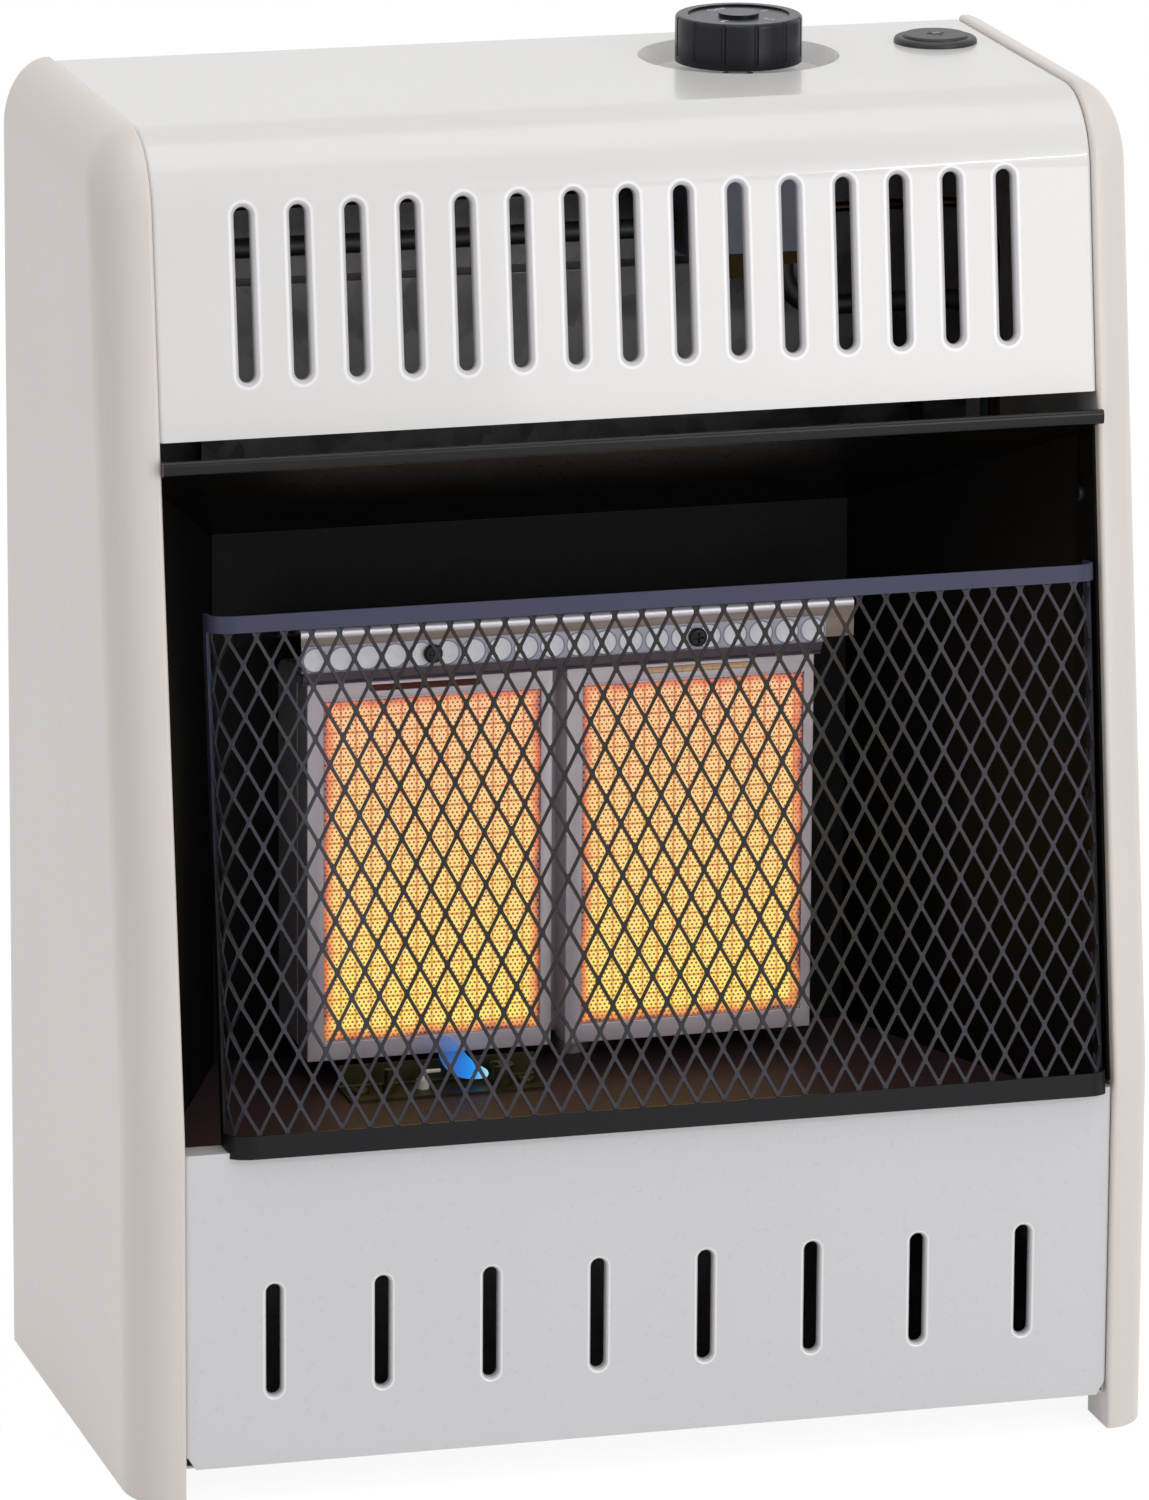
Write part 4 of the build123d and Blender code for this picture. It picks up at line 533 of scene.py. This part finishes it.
def expanded_mesh():
    """Slit and stretched steel: diamonds with broad knuckles, its strands tipped out of the sheet."""
    pitch, row_pitch = 10.853, 20.0     # mm between knuckles along a row, and between rows
    strand, thickness, tip, knuckle = 1.2, 0.9, 0.35, 1.5
    low, high, half = 4.5, 206.0, 184.6     # the sheet's edges up the slope, and half its unrolled width
    knuckle_row, rows_below = 179.4, 4
    count = 52                          # cells each way of the grid that the diamonds are cut from
    bm = bmesh.new()
    bmesh.ops.create_grid(bm, x_segments=count, y_segments=count, size=count / 2 ** 1.5)
    bmesh.ops.rotate(bm, verts=bm.verts, cent=(0, 0, 0), matrix=Matrix.Rotation(pi / 4, 3, "Z"))
    bmesh.ops.scale(bm, verts=bm.verts, vec=(pitch, row_pitch, 1))
    bmesh.ops.translate(bm, verts=bm.verts, vec=(-GUARD_SHIFT, knuckle_row - row_pitch * rows_below, 0))
    openings = bm.faces[:]
    bmesh.ops.inset_individual(bm, faces=openings, thickness=strand / 2, use_even_offset=True)
    for opening in openings:
        opening.material_index = 1
        middle = opening.calc_center_median()
        for corner in opening.verts:
            corner.co.z = tip * (corner.co.y - middle.y) / (row_pitch / 2)
    bmesh.ops.bevel(bm, geom=[v for f in openings for v in f.verts], offset=knuckle, offset_type="OFFSET",
                    segments=1, profile=0.5, affect="VERTICES", material=-1, clamp_overlap=True)
    # the bevel's own small faces carry the openings' mark too, and stay
    smallest = 0.1 * pitch * row_pitch / 2
    bmesh.ops.delete(bm, geom=[f for f in bm.faces if f.material_index == 1 and f.calc_area() > smallest],
                     context="FACES")
    for face in bm.faces:
        face.material_index = 0
    for point, normal in (((half, 0, 0), (1, 0, 0)), ((-half, 0, 0), (-1, 0, 0)), ((0, high, 0), (0, 1, 0)),
                          ((0, low, 0), (0, -1, 0))):
        cut(bm, point, normal, drop=True)
    bmesh.ops.remove_doubles(bm, verts=bm.verts, dist=0.01)
    bmesh.ops.solidify(bm, geom=bm.faces[:], thickness=thickness)
    bmesh.ops.translate(bm, verts=bm.verts, vec=(0, 0, thickness / 2))
    for vertex in bm.verts:
        wrap(vertex)
    bmesh.ops.recalc_face_normals(bm, faces=bm.faces)
    piece("guard_mesh", bm, "cabinet", "mesh_steel", finishes["mesh_steel"], "grille_mesh")


# ---------------------------------------------------------------- burner
def strip_apron():
    """Folded sheet that closes the gap between the dimpled strip and the two frames."""
    width, sheet = 212, 0.5
    bm = bmesh.new()
    corner = bm.verts.new(at(-width / 2, 84.6, 291.3))
    run = bmesh.ops.extrude_vert_indiv(bm, verts=[corner])["verts"]
    bmesh.ops.translate(bm, verts=run, vec=(width * MM, 0, 0))
    edge = bm.edges[:]
    for depth, height in ((-2.4, -3.6), (-1.4, -0.4), (1.2, -0.7)):
        _, edge = pull(bm, edge, (0, -depth * MM, height * MM))
    bmesh.ops.solidify(bm, geom=bm.faces[:], thickness=sheet * MM)
    bmesh.ops.recalc_face_normals(bm, faces=bm.faces)
    piece("strip_apron", bm, "cabinet", "burner_steel", apron_steel_painted_shade, "burner_face_frame")


def ceramic_tile(side):
    """A plaque whose face is pressed into blocks with narrow seams between them."""
    middle, half_width, back, front, foot, head = SIDES[side] * 53, 49, 67, 80, 135, 284
    chamfer, seam, sink = 0.8, 0.3, 0.35
    bm = bmesh.new()
    low, high = at(middle - half_width, back, foot), at(middle + half_width, front, head)
    bmesh.ops.create_cube(bm, size=1)
    bmesh.ops.scale(bm, verts=bm.verts, vec=(high.x - low.x, low.y - high.y, high.z - low.z))
    bmesh.ops.translate(bm, verts=bm.verts, vec=(low + high) / 2)
    soften(bm, bm.edges[:], chamfer, 1)
    for column in range(-7, 8):
        cut(bm, at(round(middle / BLOCK_WIDTH) * BLOCK_WIDTH + column * BLOCK_WIDTH, 0, 0), X_AXIS)
    for row in range(22, 45):
        cut(bm, at(0, 0, BLOCK_HEIGHT * row), Z_AXIS)
    face_y = at(0, front, 0).y
    blocks = [f for f in bm.faces if f.normal.y < -0.99 and abs(f.calc_center_median().y - face_y) < 1e-5
              and f.calc_area() > 2.0 * MM * MM]
    bmesh.ops.inset_individual(bm, faces=blocks, thickness=seam * MM, depth=0)
    for block in blocks:
        bmesh.ops.translate(bm, verts=block.verts, vec=(0, sink * MM, 0))
    piece("ceramic_tile_" + side, bm, "cabinet", "glowing_ceramic", finishes["glowing_ceramic"],
          "ceramic_plaque_" + side)


def face_tray(side):
    """Pressed sheet frame of one plaque: a plate with a slot over its window and deep rolled sides."""
    sign = SIDES[side]
    inner, outer, low, high = {"left": 3.8, "right": 1.9}[side], 103.8, 132.1, 286.9
    slot_in, slot_out, slot_low, slot_high = 33.5, 78.5, 282.0, 285.2
    window_out = WINDOW_OUT[side]
    face, sheet, fold_radius, side_depth, lip_depth = 80.6, 0.7, 0.8, 15.0, 0.5
    bm = bmesh.new()
    bmesh.ops.create_grid(bm, x_segments=1, y_segments=1, size=0.5)
    bmesh.ops.rotate(bm, verts=bm.verts, cent=(0, 0, 0), matrix=Matrix.Rotation(pi / 2, 3, "X"))
    bmesh.ops.scale(bm, verts=bm.verts, vec=((outer - inner) * MM, 1, (high - low) * MM))
    bmesh.ops.translate(bm, verts=bm.verts, vec=at(sign * (inner + outer) / 2, face, (low + high) / 2))
    for x in (WINDOW_IN, window_out, slot_in, slot_out):
        cut(bm, at(sign * x, 0, 0), X_AXIS)
    for z in (WINDOW_LOW, WINDOW_HIGH, slot_low, slot_high):
        cut(bm, at(0, 0, z), Z_AXIS)

    def within(part, x_low, x_high, z_low, z_high):
        middle = part.calc_center_median() / MM
        return x_low < sign * middle.x < x_high and z_low < middle.z < z_high

    gone = [f for f in bm.faces if within(f, WINDOW_IN, window_out, WINDOW_LOW, WINDOW_HIGH)
            or within(f, slot_in, slot_out, slot_low, slot_high)]
    bmesh.ops.delete(bm, geom=gone, context="FACES")
    bmesh.ops.dissolve_limit(bm, angle_limit=radians(1), verts=bm.verts, edges=bm.edges)
    rim = [e for e in bm.edges if e.is_boundary]

    def on_border(edge):
        across = (abs(sign * v.co.x / MM - b) < 0.01 for v in edge.verts for b in (inner, outer))
        upright = (abs(v.co.z / MM - b) < 0.01 for v in edge.verts for b in (low, high))
        return any(across) or any(upright)

    sides = [e for e in rim if on_border(e)]
    for edges, depth in ((sides, side_depth), ([e for e in rim if e not in sides], lip_depth)):
        pull(bm, edges, (0, depth * MM, 0))
    bm.normal_update()
    folds = [e for e in bm.edges if len(e.link_faces) == 2 and e.calc_face_angle(0) > 1]
    soften(bm, folds, fold_radius, 3)
    bmesh.ops.recalc_face_normals(bm, faces=bm.faces)
    plate = max(bm.faces, key=lambda f: f.calc_area())
    if plate.normal.y > 0:
        bmesh.ops.reverse_faces(bm, faces=bm.faces)
    tray = piece("plaque_frame_" + side, bm, "cabinet", "burner_steel", finishes["burner_steel"],
                 "burner_face_frame")
    wall = tray.modifiers.new("sheet", "SOLIDIFY")
    wall.thickness = sheet * MM
    wall.offset = -1.0


# ---------------------------------------------------------------- pilot flame
def pilot_flame():
    """A tongue of gas flame from the burner's mouth over the electrode's tip."""
    depth, lean = 94, radians(11)
    # across, up and radius
    stations = ((-33.0, 126.2, 1.4), (-36.5, 126.8, 2.6), (-41.0, 128.2, 3.9), (-45.0, 130.6, 5.0),
                (-48.0, 134.0, 5.4), (-50.0, 137.8, 4.6), (-51.4, 141.0, 3.0), (-52.2, 143.2, 0.8))
    mouth_x, mouth_z, mouth_radius = stations[0]
    bm = bmesh.new()
    ring = bmesh.ops.create_circle(bm, segments=20, radius=mouth_radius * MM, cap_ends=True)["verts"]
    bmesh.ops.rotate(bm, verts=ring, cent=(0, 0, 0), matrix=Matrix.Rotation(pi / 2, 3, "Y"))
    bmesh.ops.translate(bm, verts=ring, vec=at(mouth_x, depth, mouth_z))
    edges = [e for e in bm.edges if len(e.link_faces) == 1]
    for (x0, z0, r0), (x1, z1, r1) in zip(stations, stations[1:]):
        verts, edges = pull(bm, edges, Vector((x1 - x0, 0, z1 - z0)) * MM)
        centre = at(x1, depth, z1)
        bmesh.ops.scale(bm, verts=verts, vec=(r1 / r0,) * 3, space=Matrix.Translation(-centre))
        bmesh.ops.rotate(bm, verts=verts, cent=centre, matrix=Matrix.Rotation(lean, 3, "Y"))
    bmesh.ops.contextual_create(bm, geom=edges)
    bmesh.ops.recalc_face_normals(bm, faces=bm.faces)
    flame = piece("pilot_flame", bm, "cabinet", None, pilot_flame_light())
    rounding = flame.modifiers.new("rounding", "SUBSURF")
    rounding.levels = rounding.render_levels = 1


# ---------------------------------------------------------------- knob and igniter
KNOB = (78.0, 53.0)              # across, and out from the wall
KNOB_FACE = 539.1                # floor of the knob's recess
IGNITER = (161.5, 45.5)
BUTTON_FACE = 526.86


def lettering(bm, text, size, angle):
    """Adds printed characters to the knob's face, their feet towards its middle."""
    ring_radius, ink = 14.2, 0.06
    curve = bpy.data.curves.new(text, "FONT")
    curve.body = text
    curve.size = size * MM
    curve.align_x, curve.align_y = "CENTER", "CENTER"
    curve.extrude = ink * MM
    curve.resolution_u = 3
    carrier = bpy.data.objects.new(text, curve)
    bpy.context.scene.collection.objects.link(carrier)
    bpy.context.view_layer.update()
    mesh = bpy.data.meshes.new_from_object(carrier)
    mesh.transform(Matrix.Translation(at(*KNOB, KNOB_FACE + 0.05)) @ Matrix.Rotation(radians(angle), 4, "Z")
                   @ Matrix.Translation((0, ring_radius * MM, 0)))
    bm.from_mesh(mesh)
    bpy.data.meshes.remove(mesh)
    bpy.data.objects.remove(carrier)


def knob_marks():
    """Scale printed on the knob's face: off, three steps and dots that swell between them."""
    dots, dot_step, first_dot, dot_ring = 15, 9.6, 18, 18.7     # the angles in degrees, the ring in mm
    bm = bmesh.new()
    for text, size, angle in (("OFF", 5.2, 20), ("1", 6.0, -60), ("2", 6.0, -140), ("3", 6.0, -220)):
        lettering(bm, text, size, angle)
    for i in range(dots):
        angle = radians(first_dot - i * dot_step)
        dot = bmesh.ops.create_circle(bm, segments=12, cap_ends=True, radius=(0.25 + i * 0.035) * MM)["verts"]
        bmesh.ops.translate(bm, verts=dot, vec=at(KNOB[0] + dot_ring * cos(angle),
                                                  KNOB[1] - dot_ring * sin(angle), KNOB_FACE + 0.06))
    piece("knob_scale", bm, "knob", "navy_plastic", marking_paint)


def igniter_sign():
    """Six-pointed spark moulded on the button."""
    radius, waist, height = 3.6, 0.32, 0.25     # mm, share of the radius, mm
    bm = bmesh.new()
    star = bmesh.ops.create_circle(bm, segments=12, cap_ends=True, radius=radius * MM)["verts"]
    for i, point in enumerate(star):
        point.co *= 1.0 if i % 2 else waist
    bmesh.ops.translate(bm, verts=star, vec=at(*IGNITER, BUTTON_FACE))
    top = bmesh.ops.extrude_face_region(bm, geom=bm.faces[:])["geom"]
    bmesh.ops.translate(bm, verts=[g for g in top if isinstance(g, bmesh.types.BMVert)],
                        vec=(0, 0, height * MM))
    bmesh.ops.recalc_face_normals(bm, faces=bm.faces)
    piece("igniter_spark_sign", bm, "igniter_button", "black_plastic", sign_gloss)


def coil_spring(node, centre, radius, wire, turns):
    """Compression spring of round wire (mm) that fills the height of the part it replaces."""
    wire_sides, turn_steps = 8, 16
    low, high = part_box(node)
    length = high.z - low.z
    steps = turns * turn_steps
    axis = at(*centre, low.z / MM)
    bm = bmesh.new()
    ring = bmesh.ops.create_circle(bm, segments=wire_sides, radius=wire / 2 * MM)["verts"]
    bmesh.ops.rotate(bm, verts=ring, cent=(0, 0, 0), matrix=Matrix.Rotation(pi / 2, 3, "X"))
    bmesh.ops.translate(bm, verts=ring, vec=axis + Vector((radius, 0, wire / 2)) * MM)
    bmesh.ops.spin(bm, geom=bm.verts[:] + bm.edges[:], cent=axis, axis=Z_AXIS, angle=2 * pi * turns,
                   dvec=(0, 0, (length - wire * MM) / steps), steps=steps, use_duplicate=False)
    bmesh.ops.holes_fill(bm, edges=[e for e in bm.edges if e.is_boundary], sides=wire_sides)
    bmesh.ops.recalc_face_normals(bm, faces=bm.faces)
    spring = piece(node + "_coil", bm, "cabinet", "spring_steel", finishes["spring_steel"], node)
    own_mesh(spring)


# ---------------------------------------------------------------- stage, lights and camera
def seen_directly(tree):
    """1 for what the camera sees, also by reflection or through glass, and 0 for what only lights."""
    path = add(tree, "ShaderNodeLightPath")
    direct = path.outputs["Is Camera Ray"]
    for kind in ("Is Glossy Ray", "Is Transmission Ray"):
        direct = add(tree, "ShaderNodeMath", {0: direct, 1: path.outputs[kind]},
                     operation="MAXIMUM").outputs[0]
    return direct


def studio():
    """A white floor and a white world, each dimmer as a light than to the eye, and four soft lamps."""
    floor_mesh = bmesh.new()
    bmesh.ops.create_grid(floor_mesh, x_segments=1, y_segments=1, size=12)
    bmesh.ops.translate(floor_mesh, verts=floor_mesh.verts, vec=(0, 3, -0.4 * MM))
    mesh = bpy.data.meshes.new("studio_floor")
    floor_mesh.to_mesh(mesh)
    floor_mesh.free()
    floor = bpy.data.objects.new("studio_floor", mesh)
    bpy.context.scene.collection.objects.link(floor)
    material, tree, shader = begin("white_studio_floor", Roughness=0.9, Base_Color=linear("#f2f2f2"))
    white = add(tree, "ShaderNodeEmission", {"Color": linear("#ffffff"), "Strength": 1.12})
    share = add(tree, "ShaderNodeMath", {0: seen_directly(tree), 1: 0.8}, operation="MULTIPLY")
    both = add(tree, "ShaderNodeMixShader", {0: share.outputs[0], 1: shader.outputs[0],
                                             2: white.outputs[0]})
    tree.links.new(both.outputs[0], tree.nodes["Material Output"].inputs["Surface"])
    floor.data.materials.append(material)

    world = bpy.data.worlds.new("studio")
    bpy.context.scene.world = world
    world.use_nodes = True
    tree = world.node_tree
    strength = add(tree, "ShaderNodeMapRange", {"Value": seen_directly(tree), "To Min": 0.55, "To Max": 1.0})
    feed(tree, tree.nodes["Background"], {"Strength": strength.outputs[0], "Color": linear("#ffffff")})

    aim = Vector((0, 0, 0.3))
    for name, place, width, height, power in (
            ("front_softbox", (0.95, -2.0, 0.56), 0.95, 0.4, 6.2),
            ("high_strip", (1.0, -1.9, 1.2), 0.9, 0.05, 6),
            ("left_fill", (-2.2, -0.9, 1.1), 1.2, 1.2, 1.5),
            ("top_softbox", (0.1, -0.3, 2.3), 1.8, 1.4, 11)):
        light = bpy.data.lights.new(name, "AREA")
        light.shape, light.size, light.size_y, light.energy = "RECTANGLE", width, height, power
        lamp = bpy.data.objects.new(name, light)
        lamp.location = place
        lamp.rotation_euler = (aim - Vector(place)).to_track_quat("-Z", "Y").to_euler()
        bpy.context.scene.collection.objects.link(lamp)


def viewpoint():
    """The camera, from its place, the way it faces and its roll."""
    place = (-1.0306, -3.6488, 1.2574)
    azimuth, elevation, roll = radians(-15.72295), radians(14.72574), radians(0.3592)
    back = Vector((sin(azimuth) * cos(elevation), -cos(azimuth) * cos(elevation), sin(elevation)))
    right = Z_AXIS.cross(back).normalized()
    up = back.cross(right)
    axes = Matrix((cos(roll) * right + sin(roll) * up, cos(roll) * up - sin(roll) * right, back)).transposed()
    data = bpy.data.cameras.new("camera")
    data.sensor_fit, data.sensor_height, data.lens = "VERTICAL", 36.0, 240.0
    camera = bpy.data.objects.new("camera", data)
    camera.matrix_world = Matrix.Translation(place) @ axes.to_4x4()
    bpy.context.scene.collection.objects.link(camera)
    bpy.context.scene.camera = camera


expanded_mesh()
strip_apron()
for build in (ceramic_tile, face_tray):
    for side in SIDES:
        build(side)
pilot_flame()
knob_marks()
igniter_sign()
coil_spring("plunger_spring", KNOB, radius=6.5, wire=1.2, turns=5)
coil_spring("igniter_spring", IGNITER, radius=5.0, wire=1.0, turns=6)
studio()
viewpoint()
bpy.context.scene.view_settings.view_transform = "Standard"
